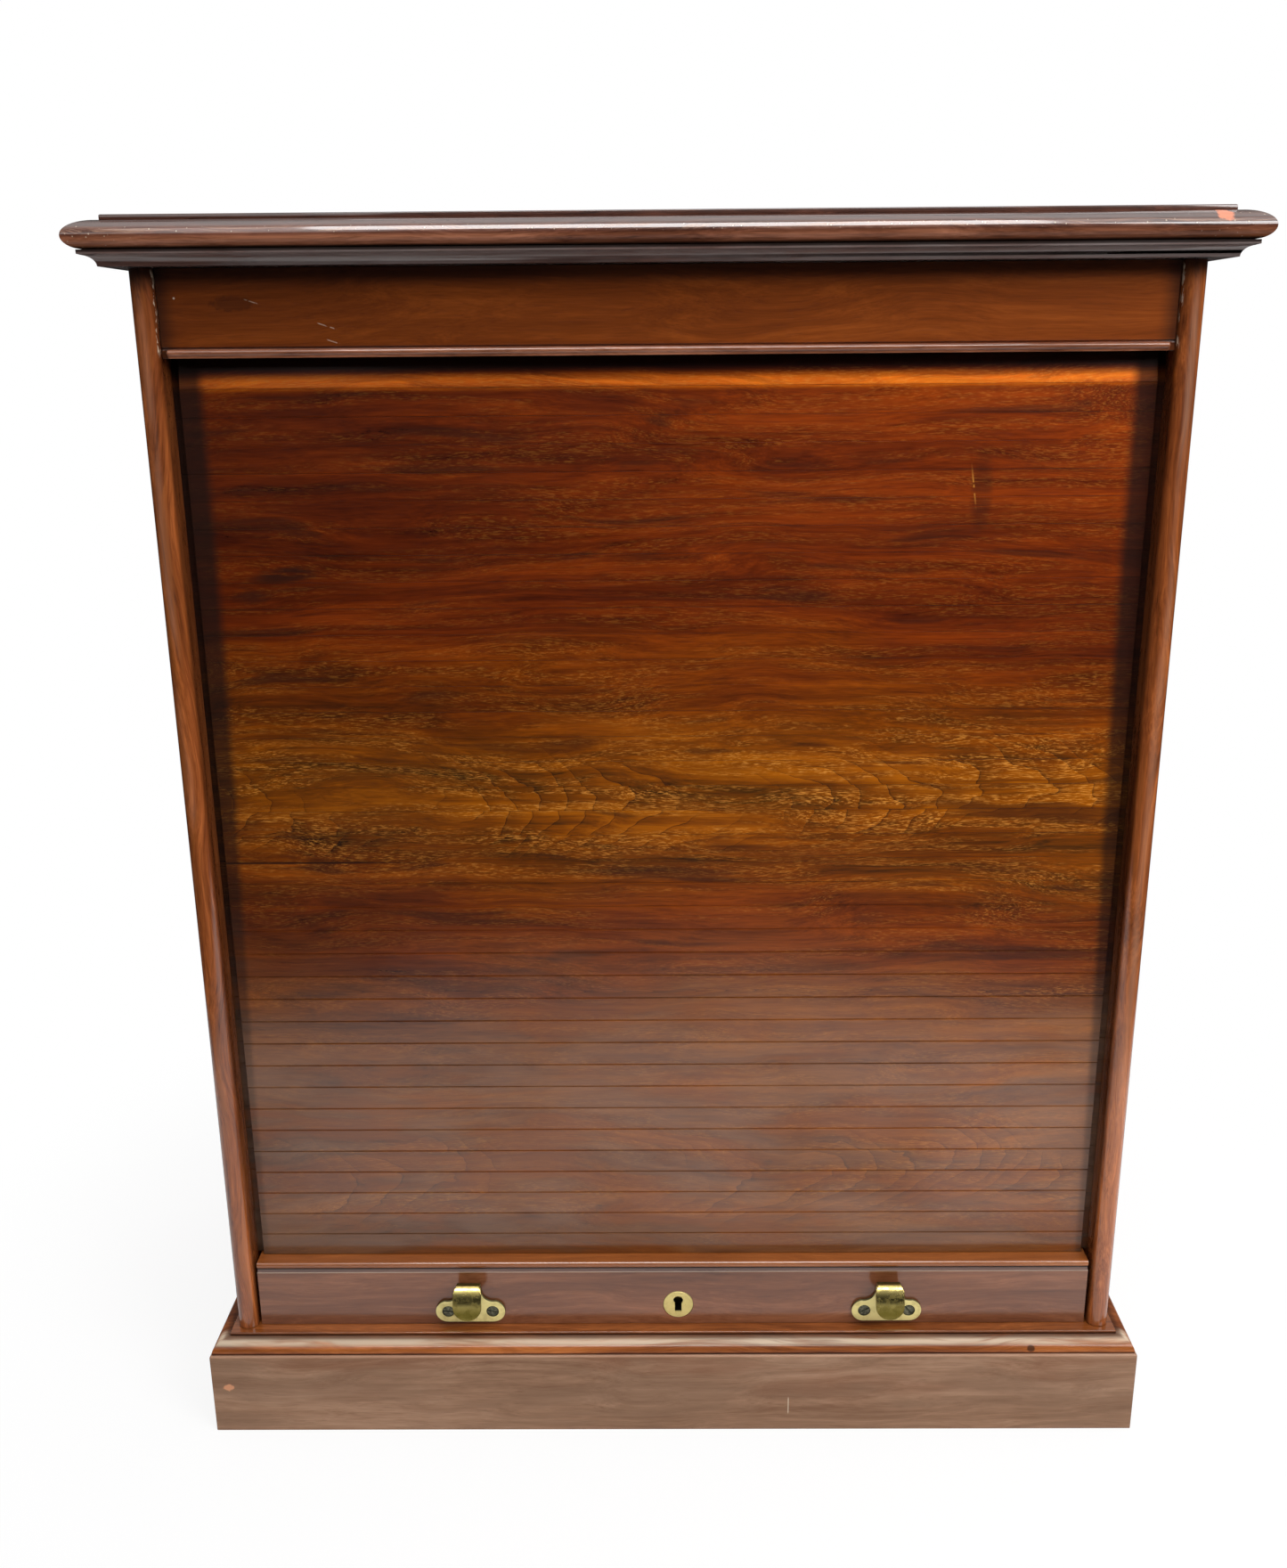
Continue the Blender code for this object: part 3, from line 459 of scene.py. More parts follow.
def slat_timber(colours, sizes):
    """Figured mahogany cut from one board: orange above, golden with cathedral figure in the middle."""
    wood = Timber("tambour_wood", "X", 3, tones(colours.heart), 1.0, 0.62)
    x, z = wood.x, wood.z
    slat, rise = (
        wood.node("ShaderNodeAttribute", {"attribute_name": name}, output="Fac") for name in ("slat", "rise")
    )
    own = wood.chance(slat) - 0.5
    drift = wood.noise(wood.line, (4, 12, 12), 3, 0.6) - 0.5
    level = z + drift * 0.12 + x * 0.03
    steps, figured = cathedral(wood, x + own * 0.008, z)
    wood.tone = wood.tone + (steps - 0.45) * figured * 0.34
    wood.tint = wood.ramp(wood.tone, tones(colours.heart))
    golden = level.around(0.425, 0.105)
    gilt = [(0.0, tuple(colours.olive)), *tones(colours.golden, 0.26, 2.1)[1:]]
    wood.tint = wood.blend(golden, wood.tint, wood.ramp(wood.tone, gilt))
    brown = wood.ramp(wood.tone, tones(colours.mahogany, 0.4, 1.7))
    wood.tint = wood.blend(level.ease(0.36, 0.27), wood.tint, brown)
    wood.mark(steps.ease(0.07, 0.01) * figured * 0.60, colours.mahogany_deep)
    wood.mark(wood.pores * 0.12, colours.mahogany_deep)
    herd = wood.grain(7, 130, 0.42, 0.58)
    glints = wood.grain(190, 1900, 0.48, 0.68, 2)
    wood.mark(glints * herd * (golden * 0.62 + 0.22) * (steps * figured * 0.7 + 0.6), colours.fleck)
    lens = wood.grain(6.5, 95, 0.60, 0.71, 2, 0.5)
    wood.mark(lens * 0.55 * z.ease(0.20, 0.34), colours.mahogany_deep)
    dirt = wood.noise(wood.join(x, slat, 0), (14, 7.3, 1), 3, 0.6).ease(0.38, 0.72)
    joint = (rise - 0.5).size().ease(0.445, 0.492)
    wood.mark(joint * (dirt * 0.40 + 0.01), colours.grime)
    wood.gloss = wood.gloss * (1 - joint)
    # Painted highlight: the first slat on the curve, tilted back under the frieze, is made bright orange as
    # if lit from above.
    ember = z.around(0.6645, 0.0060) * wood.grain(4, 10, 0.30, 0.55, 2, 0.5)
    ember = ember * (wood.grain(7, 260, 0.30, 0.60) * 0.4 + 0.5)
    wood.mark(ember, wood.ramp(wood.tone, tones(colours.ember, 0.45, 1.6)))
    wood.mark(ember * glints * 0.5, colours.fleck)
    # Painted shadow under the bead, above the bright slat.
    wood.mark(z.ease(0.6680, 0.6725) * 0.92, colours.grime)
    # Painted light: the slats are darker to the left and lighter to the right, most of all near the top.
    high = z.ease(0.54, 0.64)
    painted_light_gradient = x.ease(-0.30, 0.30) * (high * 0.45 + 0.42) + 0.80 - high * 0.12
    wood.tint = wood.shade(wood.tint, painted_light_gradient + own * 0.06)
    streaky = wood.grain(16, 380, 0.36, 0.56, 3, 0.65)
    for middle, reach, strength in (
        ((-0.218, 0.559), (0.018, 0.0042), 0.95),
        ((-0.236, 0.547), (0.012, 0.0035), 0.70),
        ((0.175, 0.604), (0.0055, 0.020), 0.50),
        ((0.150, 0.578), (0.024, 0.0040), 0.60),
        ((-0.218, 0.300), (0.030, 0.0050), 0.55),
        ((-0.225, 0.215), (0.035, 0.040), 0.30),
        ((0.062, 0.180), (0.0035, 0.0016), 0.70),
        ((-0.047, 0.148), (0.0022, 0.0018), 0.70),
    ):
        across, up = (x - middle[0]) / reach[0], (z - middle[1] - (x - middle[0]) * 0.10) / reach[1]
        knot = (across * across + up * up).ease(1.9, 0.1) * (streaky * 0.75 + 0.25)
        wood.mark(knot * strength, colours.mahogany_deep)
    scratch = (x - 0.1705 + (z - 0.606) * 0.15).size().ease(0.0006, 0.0002) * z.around(0.606, 0.014)
    scratch = scratch * wood.noise(wood.place(), (300, 300, 300), 2).ease(0.40, 0.50)
    wood.mark(scratch * 0.7, colours.fleck, 0.4)
    wood.mark(z.around(0.3857, 0.0012) * x.ease(-0.13, -0.20) * 0.95, colours.grime, 0.5, 0.8)
    shoulder = INNER_HALF_WIDTH - sizes.shoulder_inset
    climb = z.ease(0.15, 0.60)
    shadow = ((INNER_HALF_WIDTH - x.size()) / (climb * 0.0085 + 0.0085)).ease(1.20, 0.75)
    wood.mark(shadow * (climb * 0.26 + 0.58), colours.grime, 0.6)
    wood.mark(z.ease(0.146, 0.130) * 0.32, colours.olive, 0.7)
    # Painted shade on the recessed tongues beyond the shoulders.
    wood.mark(x.size().ease(shoulder - 0.0006, shoulder) * 0.30, colours.grime, 0.8)
    wood.gloss = wood.gloss * (1 - z.ease(0.6585, 0.6620) * 0.93)
    cloudy = wood.noise(wood.place(), (9, 9, 9), 2).ease(0.30, 0.62)
    # Cloudy wax over the lower slats, with a painted reflection of the pale floor in their polish.
    wax_and_reflection = (z + (cloudy - 0.5) * 0.07 + drift * 0.05).ease(0.335, 0.235)
    patches = wood.grain(9, 42, 0.40, 0.62)
    wood.mark(wax_and_reflection * (patches * 0.20 + 0.04), colours.faded)
    wood.mark(wax_and_reflection * patches.ease(0.35, 0.0) * 0.22, colours.stile)
    wood.gloss = wood.gloss * (cloudy * 0.42 + 0.66)
    wood.surface(coat_roughness=0.17)
    wood.roughness = wood.roughness + wood.noise(wood.line, (14, 60, 60), 2) * 0.12 - 0.06
    return wood


def brass_finish(name, colours, tarnish, roughness, metallic=1.0):
    """Old brass with a brown-green film, fine scratches and dark pits."""
    metal = Finish(name)
    place = metal.place()
    film = metal.noise(place, (190, 190, 190), 4, 0.6).ease(0.42, 0.66)
    scratches = metal.noise(place, (2600, 2600, 90), 2, 0.7)
    pits = metal.flecks(place, (900, 900, 900)).ease(0.16, 0.06)
    tint = metal.blend(film * tarnish, colours.brass, colours.tarnish)
    tint = metal.blend(pits * 0.6, tint, tuple(level * 0.3 for level in colours.tarnish))
    dull = roughness + film * 0.18 + scratches * 0.10
    height = metal.bump(scratches * 0.3 - pits * 0.8, 0.00005)
    metal.tint, metal.dull, metal.film = tint, dull, film
    return metal.surface(base_color=tint, roughness=dull, normal=height, metallic=metallic)


def hook_finish(colours, plate_front, foot):
    """A polished strap that darkens to olive (patina, with a painted dark reflection) and has painted shade
    inside, on a pale satin plate with a dark rim.
    """
    metal = brass_finish("hook_brass", colours, 0.55, 0.13)
    _, y, z = metal.split(metal.place())
    turned = metal.split(metal.node("ShaderNodeNewGeometry", output="Normal"))[1]
    plate = y.ease(plate_front - 0.0008, plate_front - 0.0003)
    # Olive down the strap's middle: patina, with the dark reflection of the room painted in.
    olive = z.around(foot + 0.0160, 0.0125) * 0.92
    # Painted shade on the strap's inner side, which faces the rail.
    inside = turned.ease(-0.15, 0.25)
    rim = plate * turned.ease(-0.93, -0.60)
    worked = metal.blend(0.35, metal.tint, colours.tarnish)
    tint = metal.blend(olive * (1 - plate), worked, colours.patina)
    tint = metal.blend(plate, tint, metal.blend(metal.film * 0.25, colours.satin, colours.tarnish))
    shaded_inside_and_rim = (inside * (1 - plate)).at_least(rim) * 0.88
    tint = metal.blend(shaded_inside_and_rim, tint, tuple(level * 0.25 for level in colours.patina))
    dull = metal.dull + plate * 0.2 + inside * 0.3
    return metal.surface(metallic=1.0 - plate * 0.6, base_color=tint, roughness=dull).material


def steel_finish(colours):
    """Browned steel of old screws, with a few bright rubs."""
    metal = Finish("screw_steel", metallic=0.7)
    place = metal.place()
    rust = metal.noise(place, (700, 700, 700), 3, 0.6)
    stops = [(0.3, paint(52, 48, 34)), (0.55, tuple(colours.steel)), (0.8, paint(150, 146, 120))]
    metal.surface(base_color=metal.ramp(rust, stops), roughness=rust * 0.25 + 0.34)
    return metal.surface(normal=metal.bump(rust, 0.00005)).material


def canvas_finish(colours):
    """Brown linen with its weave, stiff with glue."""
    cloth = Finish("tambour_canvas", roughness=0.85)
    x, _, z = cloth.split(cloth.place())
    thread = ((x * 3600).wave() + (z * 3600).wave()) * 0.5
    stain = cloth.noise(cloth.place(), (18, 18, 18), 4, 0.6)
    tint = cloth.ramp(stain, [(0.3, paint(82, 62, 42)), (0.7, tuple(colours.canvas))])
    tint = cloth.shade(tint, thread * 0.12 + 0.9)
    return cloth.surface(base_color=tint, normal=cloth.bump(thread, 0.0002)).material


# ---- Modelling


def start_block(name, low, high):
    """A block between two corners, in edit mode with nothing else selected."""
    low, high = Vector(low), Vector(high)
    bpy.ops.object.select_all(action="DESELECT")
    bpy.ops.mesh.primitive_cube_add(size=1, location=(low + high) / 2, scale=high - low)
    return to_edit(name)


def start_disc(name, centre, radius, depth, vertices=48):
    """A disc that faces the front, its back at the centre's y, in edit mode."""
    bpy.ops.object.select_all(action="DESELECT")
    middle = Vector(centre) - Vector((0, depth / 2, 0))
    bpy.ops.mesh.primitive_cylinder_add(
        vertices=vertices, radius=radius, depth=depth, location=middle, rotation=(math.pi / 2, 0, 0)
    )
    return to_edit(name)


def to_edit(name):
    piece = bpy.context.object
    piece.name = piece.data.name = name
    bpy.ops.object.transform_apply(location=True, rotation=True, scale=True)
    bpy.ops.object.mode_set(mode="EDIT")
    return piece


def pick(kind, test):
    """Selects just those vertices, edges or faces of the edited mesh that pass the test."""
    modes = ("VERT", "EDGE", "FACE")
    bpy.ops.mesh.select_mode(type=kind)
    bpy.ops.mesh.select_all(action="DESELECT")
    mesh = bmesh.from_edit_mesh(bpy.context.object.data)
    for item in (mesh.verts, mesh.edges, mesh.faces)[modes.index(kind)]:
        item.select_set(test(item))
    mesh.select_flush_mode()
    bmesh.update_edit_mesh(bpy.context.object.data)


def runs_along(edge, axis):
    direction = (edge.verts[1].co - edge.verts[0].co).normalized()
    return abs(direction["XYZ".index(axis)]) > 0.999


def middle_of(edge):
    return (edge.verts[0].co + edge.verts[1].co) / 2


def to_object():
    if bpy.context.object.mode == "EDIT":
        bpy.ops.object.mode_set(mode="OBJECT")


def add(name, data):
    """A new object in the scene that holds this mesh, lamp or camera."""
    made = bpy.data.objects.new(name, data)
    bpy.context.scene.collection.objects.link(made)
    return made


def make_active(piece):
    bpy.ops.object.select_all(action="DESELECT")
    piece.select_set(True)
    bpy.context.view_layer.objects.active = piece


def apply_modifier(piece, kind, **settings):
    make_active(piece)
    step = piece.modifiers.new(kind.lower(), kind)
    for name, value in settings.items():
        setattr(step, name, value)
    bpy.ops.object.modifier_apply(modifier=step.name)


def ease_edges(piece, width, segments=2, angle=40):
    apply_modifier(
        piece,
        "BEVEL",
        width=width,
        segments=segments,
        limit_method="ANGLE",
        angle_limit=math.radians(angle),
        miter_outer="MITER_ARC",
        harden_normals=False,
    )


def cut_with(piece, cutter, operation="DIFFERENCE"):
    """Cuts the cutter out of the piece, or joins it on, and removes it."""
    to_object()
    apply_modifier(piece, "BOOLEAN", object=cutter, operation=operation, solver="EXACT")
    bpy.data.objects.remove(cutter)


def shade(piece, angle=50):
    """Smooth round its curves while its broad faces stay flat."""
    to_object()
    make_active(piece)
    bpy.ops.object.shade_smooth_by_angle(angle=math.radians(angle))
    apply_modifier(piece, "WEIGHTED_NORMAL", keep_sharp=True, weight=100)


def finish_piece(piece, finish, body, slot, *nodes):
    """Shades the piece, gives it its finish and puts it in the place of the plain nodes."""
    shade(piece)
    piece.data.materials.clear()
    piece.data.materials.append(finish)
    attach(piece, body)
    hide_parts(*nodes)


def eased_copy(node, name, width, segments=2):
    """A copy of a plain solid with whole faces and its edges worn round."""
    piece = add(name, frame["nodes"][node].data.copy())
    make_active(piece)
    bpy.ops.mesh.customdata_custom_splitnormals_clear()
    bpy.ops.object.mode_set(mode="EDIT")
    bpy.ops.mesh.select_all(action="SELECT")
    bpy.ops.mesh.remove_doubles(threshold=MERGE)
    bpy.ops.mesh.dissolve_limited(angle_limit=math.radians(1))
    bpy.ops.object.mode_set(mode="OBJECT")
    ease_edges(piece, width, segments)
    return piece


def ellipse(centre, run, rise, start, end, steps):
    """(overhang, height) points along part of an ellipse, between two angles in degrees."""
    turns = (math.radians(start + (end - start) * i / steps) for i in range(steps + 1))
    return [(centre[0] + run * math.cos(turn), centre[1] + rise * math.sin(turn)) for turn in turns]


def moulded_slab(name, profile):
    """A board whose front and sides follow (overhang, height) points upwards, with a square back edge."""
    overhang, height = profile[0]
    width, depth = 2 * (HALF_WIDTH + overhang), BACK_Y - FRONT_Y + overhang
    bpy.ops.object.select_all(action="DESELECT")
    middle = (0, BACK_Y - depth / 2, height)
    bpy.ops.mesh.primitive_plane_add(size=1, location=middle)
    slab = to_edit(name)
    bpy.ops.transform.resize(value=(width, depth, 1), center_override=middle)
    for next_overhang, next_height in profile[1:]:
        bpy.ops.mesh.extrude_region_move(TRANSFORM_OT_translate={"value": (0, 0, next_height - height)})
        grown = (2 * (HALF_WIDTH + next_overhang), BACK_Y - FRONT_Y + next_overhang)
        pivot = (0, BACK_Y, next_height)
        bpy.ops.transform.resize(value=(grown[0] / width, grown[1] / depth, 1), center_override=pivot)
        (width, depth), height = grown, next_height
    bpy.ops.mesh.select_all(action="SELECT")
    bpy.ops.mesh.normals_make_consistent(inside=False)
    return slab


def slice_off(point, normal):
    """Cuts away what lies beyond the plane, on its normal's side, and closes the cut."""
    bpy.ops.mesh.select_all(action="SELECT")
    bpy.ops.mesh.bisect(plane_co=point, plane_no=normal, use_fill=True, clear_outer=True)


# ---- Operators


class Maker:
    """What the operators share."""

    bl_options = {"REGISTER", "UNDO"}

    def execute(self, context):
        self.make(context.scene.cabinet_sizes, context.scene.cabinet_colours)
        return {"FINISHED"}


class CABINET_OT_top_board(Maker, bpy.types.Operator):
    """Thumb-moulded top board with a raised flat, worn along its nose"""

    bl_idname = "cabinet.top_board"
    bl_label = "Top Board"

    def make(self, sizes, colours):
        low, high = TOP[0].z, TOP[1].z
        nose = -HALF_WIDTH - TOP[0].x
        under, rise = sizes.nose_undercut, sizes.nose_height
        middle = low + rise
        flat = high - sizes.fillet_height
        profile = ellipse((nose - under, middle), under, rise, -90, 0, 10)
        fillet, worn = sizes.fillet_overhang, 0.0005
        profile += ellipse((fillet, middle), nose - fillet, flat - middle, 0, 90, 16)[1:]
        profile += [(fillet, high - worn), (fillet - worn, high)]
        board = moulded_slab("top_board_worked", profile)
        to_object()
        finish_piece(board, top_timber(colours).close(), "cabinet", "top_wood", "top_board")


class CABINET_OT_bed_moulding(Maker, bpy.types.Operator):
    """Hollow bed moulding under the top board, mitred at the front corners"""

    bl_idname = "cabinet.bed_moulding"
    bl_label = "Bed Moulding"

    def make(self, sizes, colours):
        low, high = CORNICE[0].z, CORNICE[1].z
        widest = FRONT_Y - CORNICE[0].y
        step = 0.0013  # from the hollow out to the square edge
        run = widest - sizes.cornice_foot - step
        hollow_top = high - 2 * sizes.cornice_fillet
        profile = ellipse((sizes.cornice_foot + run, low), run, hollow_top - low, 180, 98, 12)
        profile += [(widest, high - 1.6 * sizes.cornice_fillet), (widest, high)]
        seat = sizes.cornice_inside
        lengths = {
            "front": [((0, FRONT_Y + seat, 0), (0, 1, 0))],
            "left": [((seat - HALF_WIDTH, 0, 0), (1, 0, 0))],
            "right": [((HALF_WIDTH - seat, 0, 0), (-1, 0, 0))],
        }
        for side in (-1, 1):
            corner = (side * HALF_WIDTH, FRONT_Y, 0)
            lengths["front"].append((Vector(corner) - Vector((side * FIT_GAP / 3, 0, 0)), (side, 1, 0)))
            name = "left" if side < 0 else "right"
            lengths[name].append((Vector(corner) + Vector((0, FIT_GAP / 3, 0)), (-side, -1, 0)))
        for name, cuts in lengths.items():
            piece = moulded_slab(f"cornice_{name}_worked", profile)
            for point, normal in cuts:
                slice_off(point, normal)
            to_object()
            along = "X" if name == "front" else "Y"
            wood = polished(f"cornice_wood_{name}", along, 5, colours.top, 0.7)
            # Painted reflection: patches of greyish sheen over the moulding, stronger to the right, where
            # more light falls.
            bloom = wood.grain(9, 160, 0.30, 0.66)
            wood.mark(bloom * 0.46 + wood.x.ease(-0.1, 0.3) * 0.30 + 0.16, colours.bloom, 0.2)
            # Painted shadow under the nose of the top board, along the moulding's top edge.
            wood.mark(wood.z.ease(high - 0.0018, high - 0.0008) * 0.85, colours.grime, 0.9)
            finish_piece(piece, wood.close(), "cabinet", "cornice_wood", f"cornice_{name}")


class CABINET_OT_side_boards(Maker, bpy.types.Operator):
    """Side boards with rounded fronts and the tambour's grooves, their edges eased"""

    bl_idname = "cabinet.side_boards"
    bl_label = "Side Boards"

    def make(self, sizes, colours):
        for side, seed in (("left", 11), ("right", 13)):
            piece = eased_copy(f"side_{side}", f"side_{side}_worked", sizes.arris / 2, 1)
            wood = polished(f"side_wood_{side}", "Z", seed, colours.stile, 0.7)
            out = wood.x.size()
            front = wood.y.ease(FRONT_Y + 0.012, FRONT_Y + 0.006)
            # Painted highlight: a pale band down each rounded front, stronger on the right side board, where
            # the light falls.
            light = wood.z.ease(0.16, 0.34) * out.around(HALF_WIDTH - 0.0055, 0.0042)
            light = light * wood.grain(6, 60, 0.36, 0.56, 3, 0.5)
            wood.mark(light * front * (0.36 if side == "right" else 0.26), colours.rubbed)
            gold = wood.grain(9, 170, 0.52, 0.66)
            wood.mark(gold * front * 0.5, colours.amber)
            # Painted shade: darker along the inner edge, beside the frieze and the tambour.
            wood.mark(out.ease(INNER_HALF_WIDTH + 0.0012, INNER_HALF_WIDTH) * 0.55, colours.mahogany_deep)
            # Painted shade: the outer edge of each front is darkened, and its gloss dulled.
            wood.mark(out.ease(HALF_WIDTH - 0.0014, HALF_WIDTH - 0.0004) * front * 0.85, colours.grime, 1.0)
            # Painted shadow under the bed moulding, at the top of each side board.
            wood.mark(wood.z.ease(CORNICE[0].z - 0.014, CORNICE[0].z - 0.001) * 0.85, colours.grime, 0.6)
            filler = out.around(INNER_HALF_WIDTH + 0.0006, 0.0007)
            filler = filler * wood.z.ease(FRIEZE[0].z, FRIEZE[0].z + 0.004)
            filler = filler * wood.noise(wood.place(), (500, 500, 150), 3, 0.7).ease(0.49, 0.58)
            filler = filler * wood.z.ease(CORNICE[0].z, CORNICE[0].z - 0.004)
            wood.mark(filler * 0.9, colours.filler, 0.8)
            finish_piece(piece, wood.close(), "cabinet", "side_wood", f"side_{side}")


class CABINET_OT_frieze(Maker, bpy.types.Operator):
    """Frieze rail with its planted bead"""

    bl_idname = "cabinet.frieze"
    bl_label = "Frieze"

    def make(self, sizes, colours):
        piece = eased_copy("frieze_rail", "frieze_rail_worked", sizes.arris / 2)
        wood = polished("frieze_wood", "X", 17, colours.frieze, 0.34)
        # Painted light: lighter towards the right, where the light falls.
        wood.tint = wood.shade(wood.tint, wood.x.ease(-0.28, 0.28) * 0.42 + 0.88)
        # Painted shadow under the bed moulding, along the top of the frieze.
        wood.mark(wood.z.ease(FRIEZE[1].z - 0.0115, FRIEZE[1].z - 0.002) * 0.66, colours.grime, 0.5)
        # Painted shade at both ends, beside the side boards.
        wood.mark(wood.x.size().ease(INNER_HALF_WIDTH - 0.012, INNER_HALF_WIDTH) * 0.7, colours.grime)
        wood.mark(wood.spot((-0.2625, 0.7085), (0.0006, 0.0006), 0.3) * 0.8, colours.filler)
        for x, z, reach in ((-0.2215, 0.7065, 0.0045), (-0.182, 0.6938, 0.0060), (-0.179, 0.6858, 0.0040)):
            wood.mark(wood.scratch((x, z), reach, -0.32) * 0.4, colours.filler)
        wood.mark(wood.spot((-0.232, 0.7055), (0.012, 0.004), 1.0) * 0.4, colours.mahogany_deep)
        finish_piece(piece, wood.close(), "cabinet", "frieze_wood", "frieze_rail")
        piece = eased_copy("frieze_bead", "frieze_bead_worked", BEAD_ARRIS, 1)
        wood = polished("bead_wood", "X", 19, colours.ruddy, 0.6, 0.8)
        finish_piece(piece, wood.close(), "cabinet", "bead_wood", "frieze_bead")


class CABINET_OT_tambour(Maker, bpy.types.Operator):
    """Slats with tongued ends on their canvas"""

    bl_idname = "cabinet.tambour"
    bl_label = "Tambour"

    def make(self, sizes, colours):
        start = MOULDING[1].z + FIT_GAP
        canvas_y = CURTAIN[0].y + sizes.slat_thickness + 0.0001
        slat = self.make_slat(sizes)
        straight = int((CURTAIN[1].z - sizes.curve_rise - start) / sizes.slat_pitch)
        dice = random.Random(4)
        slats = []
        for i in range(straight):
            joint = 1 - dice.uniform(0.05, 0.75) * sizes.slat_joint / sizes.slat_pitch
            face = 1 - dice.uniform(0.0, 0.008)
            turn = Matrix.Diagonal((1, face, joint, 1))
            place = Matrix.Translation((0, canvas_y, start + i * sizes.slat_pitch))
            slats.append(self.lay_slat(slat, i, place @ turn))
        inward = sizes.slat_thickness - sizes.tongue_set_back - sizes.tongue_thickness / 2
        radius = sizes.curve_radius - inward
        hinge = Vector((0, canvas_y + radius, start + straight * sizes.slat_pitch))
        step = math.radians(sizes.tail_turn) / sizes.tail_slats
        for i in range(sizes.tail_slats):
            swing = Matrix.Rotation(-step * i, 4, "X")
            place = Matrix.Translation(hinge) @ swing @ Matrix.Translation((0, -radius, 0))
            lap = Matrix.Diagonal((1, 1, 1 + TAIL_LAP, 1))
            lap = Matrix.Translation((0, 0, -TAIL_LAP * sizes.slat_pitch)) @ lap
            lean = Matrix.Rotation(-step / 2, 4, "X") @ lap
            slats.append(self.lay_slat(slat, straight + i, place @ lean))
        bpy.data.objects.remove(slat)
        canvas = self.make_canvas(sizes, canvas_y, start, hinge, step * sizes.tail_slats)
        wood = slat_timber(colours, sizes)
        for piece in slats:
            piece.data.materials.append(wood.material)
        wood.close()
        canvas.data.materials.append(canvas_finish(colours))
        make_active(slats[0])
        for piece in (*slats[1:], canvas):
            piece.select_set(True)
        bpy.ops.object.join()
        curtain = slats[0]
        curtain.name = curtain.data.name = "tambour_curtain_worked"
        shade(curtain, 20)
        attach(curtain, "cabinet")
        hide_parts("tambour_curtain")
        top = max(vertex.co.z for vertex in curtain.data.vertices)
        keep = (top - start - LIFT_TRAVEL) / (top - start)
        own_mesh(curtain)

    def make_slat(self, sizes):
        """A bar standing on its lower edge at the origin, its back in the plane y = 0."""
        shoulder = INNER_HALF_WIDTH - sizes.shoulder_inset
        low = (-shoulder, -sizes.slat_thickness, 0)
        slat = start_block("slat", low, (shoulder, 0, sizes.slat_pitch))
        tongue_front = sizes.tongue_set_back - sizes.slat_thickness
        tongue_back = tongue_front + sizes.tongue_thickness
        for y in (tongue_front, tongue_back):
            bpy.ops.mesh.select_all(action="SELECT")
            bpy.ops.mesh.bisect(plane_co=(0, y, 0), plane_no=(0, 1, 0))
        pick("EDGE", lambda edge: middle_of(edge).y < -sizes.slat_thickness + SAME_PLANE)
        bpy.ops.mesh.bevel(offset=sizes.slat_arris, segments=2, affect="EDGES")

        def on_tongue(face):
            return abs(face.normal.x) > FACING and tongue_front < face.calc_center_median().y < tongue_back

        pick("FACE", on_tongue)
        reach = CURTAIN[1].x - shoulder
        bpy.ops.mesh.extrude_faces_move(TRANSFORM_OT_shrink_fatten={"value": reach})
        to_object()
        return slat

    def lay_slat(self, slat, number, place):
        piece = add(f"slat_{number}", slat.data.copy())
        piece.data.transform(place)
        heights = [vertex.co.z for vertex in slat.data.vertices]
        rises = [height / max(heights) for height in heights]
        for name, values in (("slat", [float(number)] * len(rises)), ("rise", rises)):
            piece.data.attributes.new(name, "FLOAT", "POINT").data.foreach_set("value", values)
        return piece

    def make_canvas(self, sizes, canvas_y, start, hinge, turn):
        """The cloth: a long strip that is turned over at the top round the hinge."""
        shoulder = INNER_HALF_WIDTH - sizes.shoulder_inset
        low = (-shoulder, canvas_y, start - sizes.canvas_tab)
        cloth = start_block("canvas", low, (shoulder, canvas_y + sizes.canvas_thickness, hinge.z))
        pick("FACE", lambda face: face.normal.z > FACING)
        bpy.ops.mesh.spin(steps=sizes.tail_slats * 2, angle=turn, center=hinge, axis=(1, 0, 0))
        bpy.ops.mesh.select_all(action="SELECT")
        bpy.ops.mesh.remove_doubles(threshold=MERGE)
        bpy.ops.mesh.normals_make_consistent(inside=False)
        to_object()
        return cloth


class CABINET_OT_lift_rail(Maker, bpy.types.Operator):
    """Lift rail with its moulding and quirk"""

    bl_idname = "cabinet.lift_rail"
    bl_label = "Lift Rail"

    def make(self, sizes, colours):
        wood = polished("rail_wood", "X", 23, colours.rail, 0.38)
        moulding = wood.z.ease(MOULDING[0].z - 0.0002, MOULDING[0].z)
        wood.mark(moulding, wood.ramp(wood.tone, tones(colours.amber, 0.5, 1.7)))
        top = RAIL[1].z
        # Painted sheen: a pale band just under the rail's top.
        pale = wood.z.ease(top - 0.0024, top - 0.0019) * wood.z.ease(top - 0.0002, top - 0.0006)
        wood.mark(pale * 0.55, colours.bloom)
        wood.mark(wood.z.around(top - 0.0024, 0.0004) * 0.55, colours.filler)
        # Painted shade along the rail's top, where the moulding sits on it.
        wood.mark(wood.z.around(top - 0.0001, 0.0014) * 0.97, colours.grime, 0.95)
        wood.surface(coat_roughness=0.15)
        low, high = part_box("escutcheon")
        middle = (low + high) / 2
        # Painted shade: black on the rail's faces inside the keyhole.
        inside = wood.spot((middle.x, middle.z), (0.0060, 0.0080), 0.1)
        wood.mark(inside * wood.y.ease(low.y + 0.0006, low.y + 0.0012), colours.soot, 0.9)
        finish = wood.close()
        rail = eased_copy("lift_rail", "lift_rail_worked", sizes.arris / 2)
        finish_piece(rail, finish, "lift", "rail_wood", "lift_rail")
        trim = eased_copy("lift_rail_moulding", "lift_rail_moulding_worked", TRIM_ARRIS)
        finish_piece(trim, finish, "lift", "rail_wood", "lift_rail_moulding")


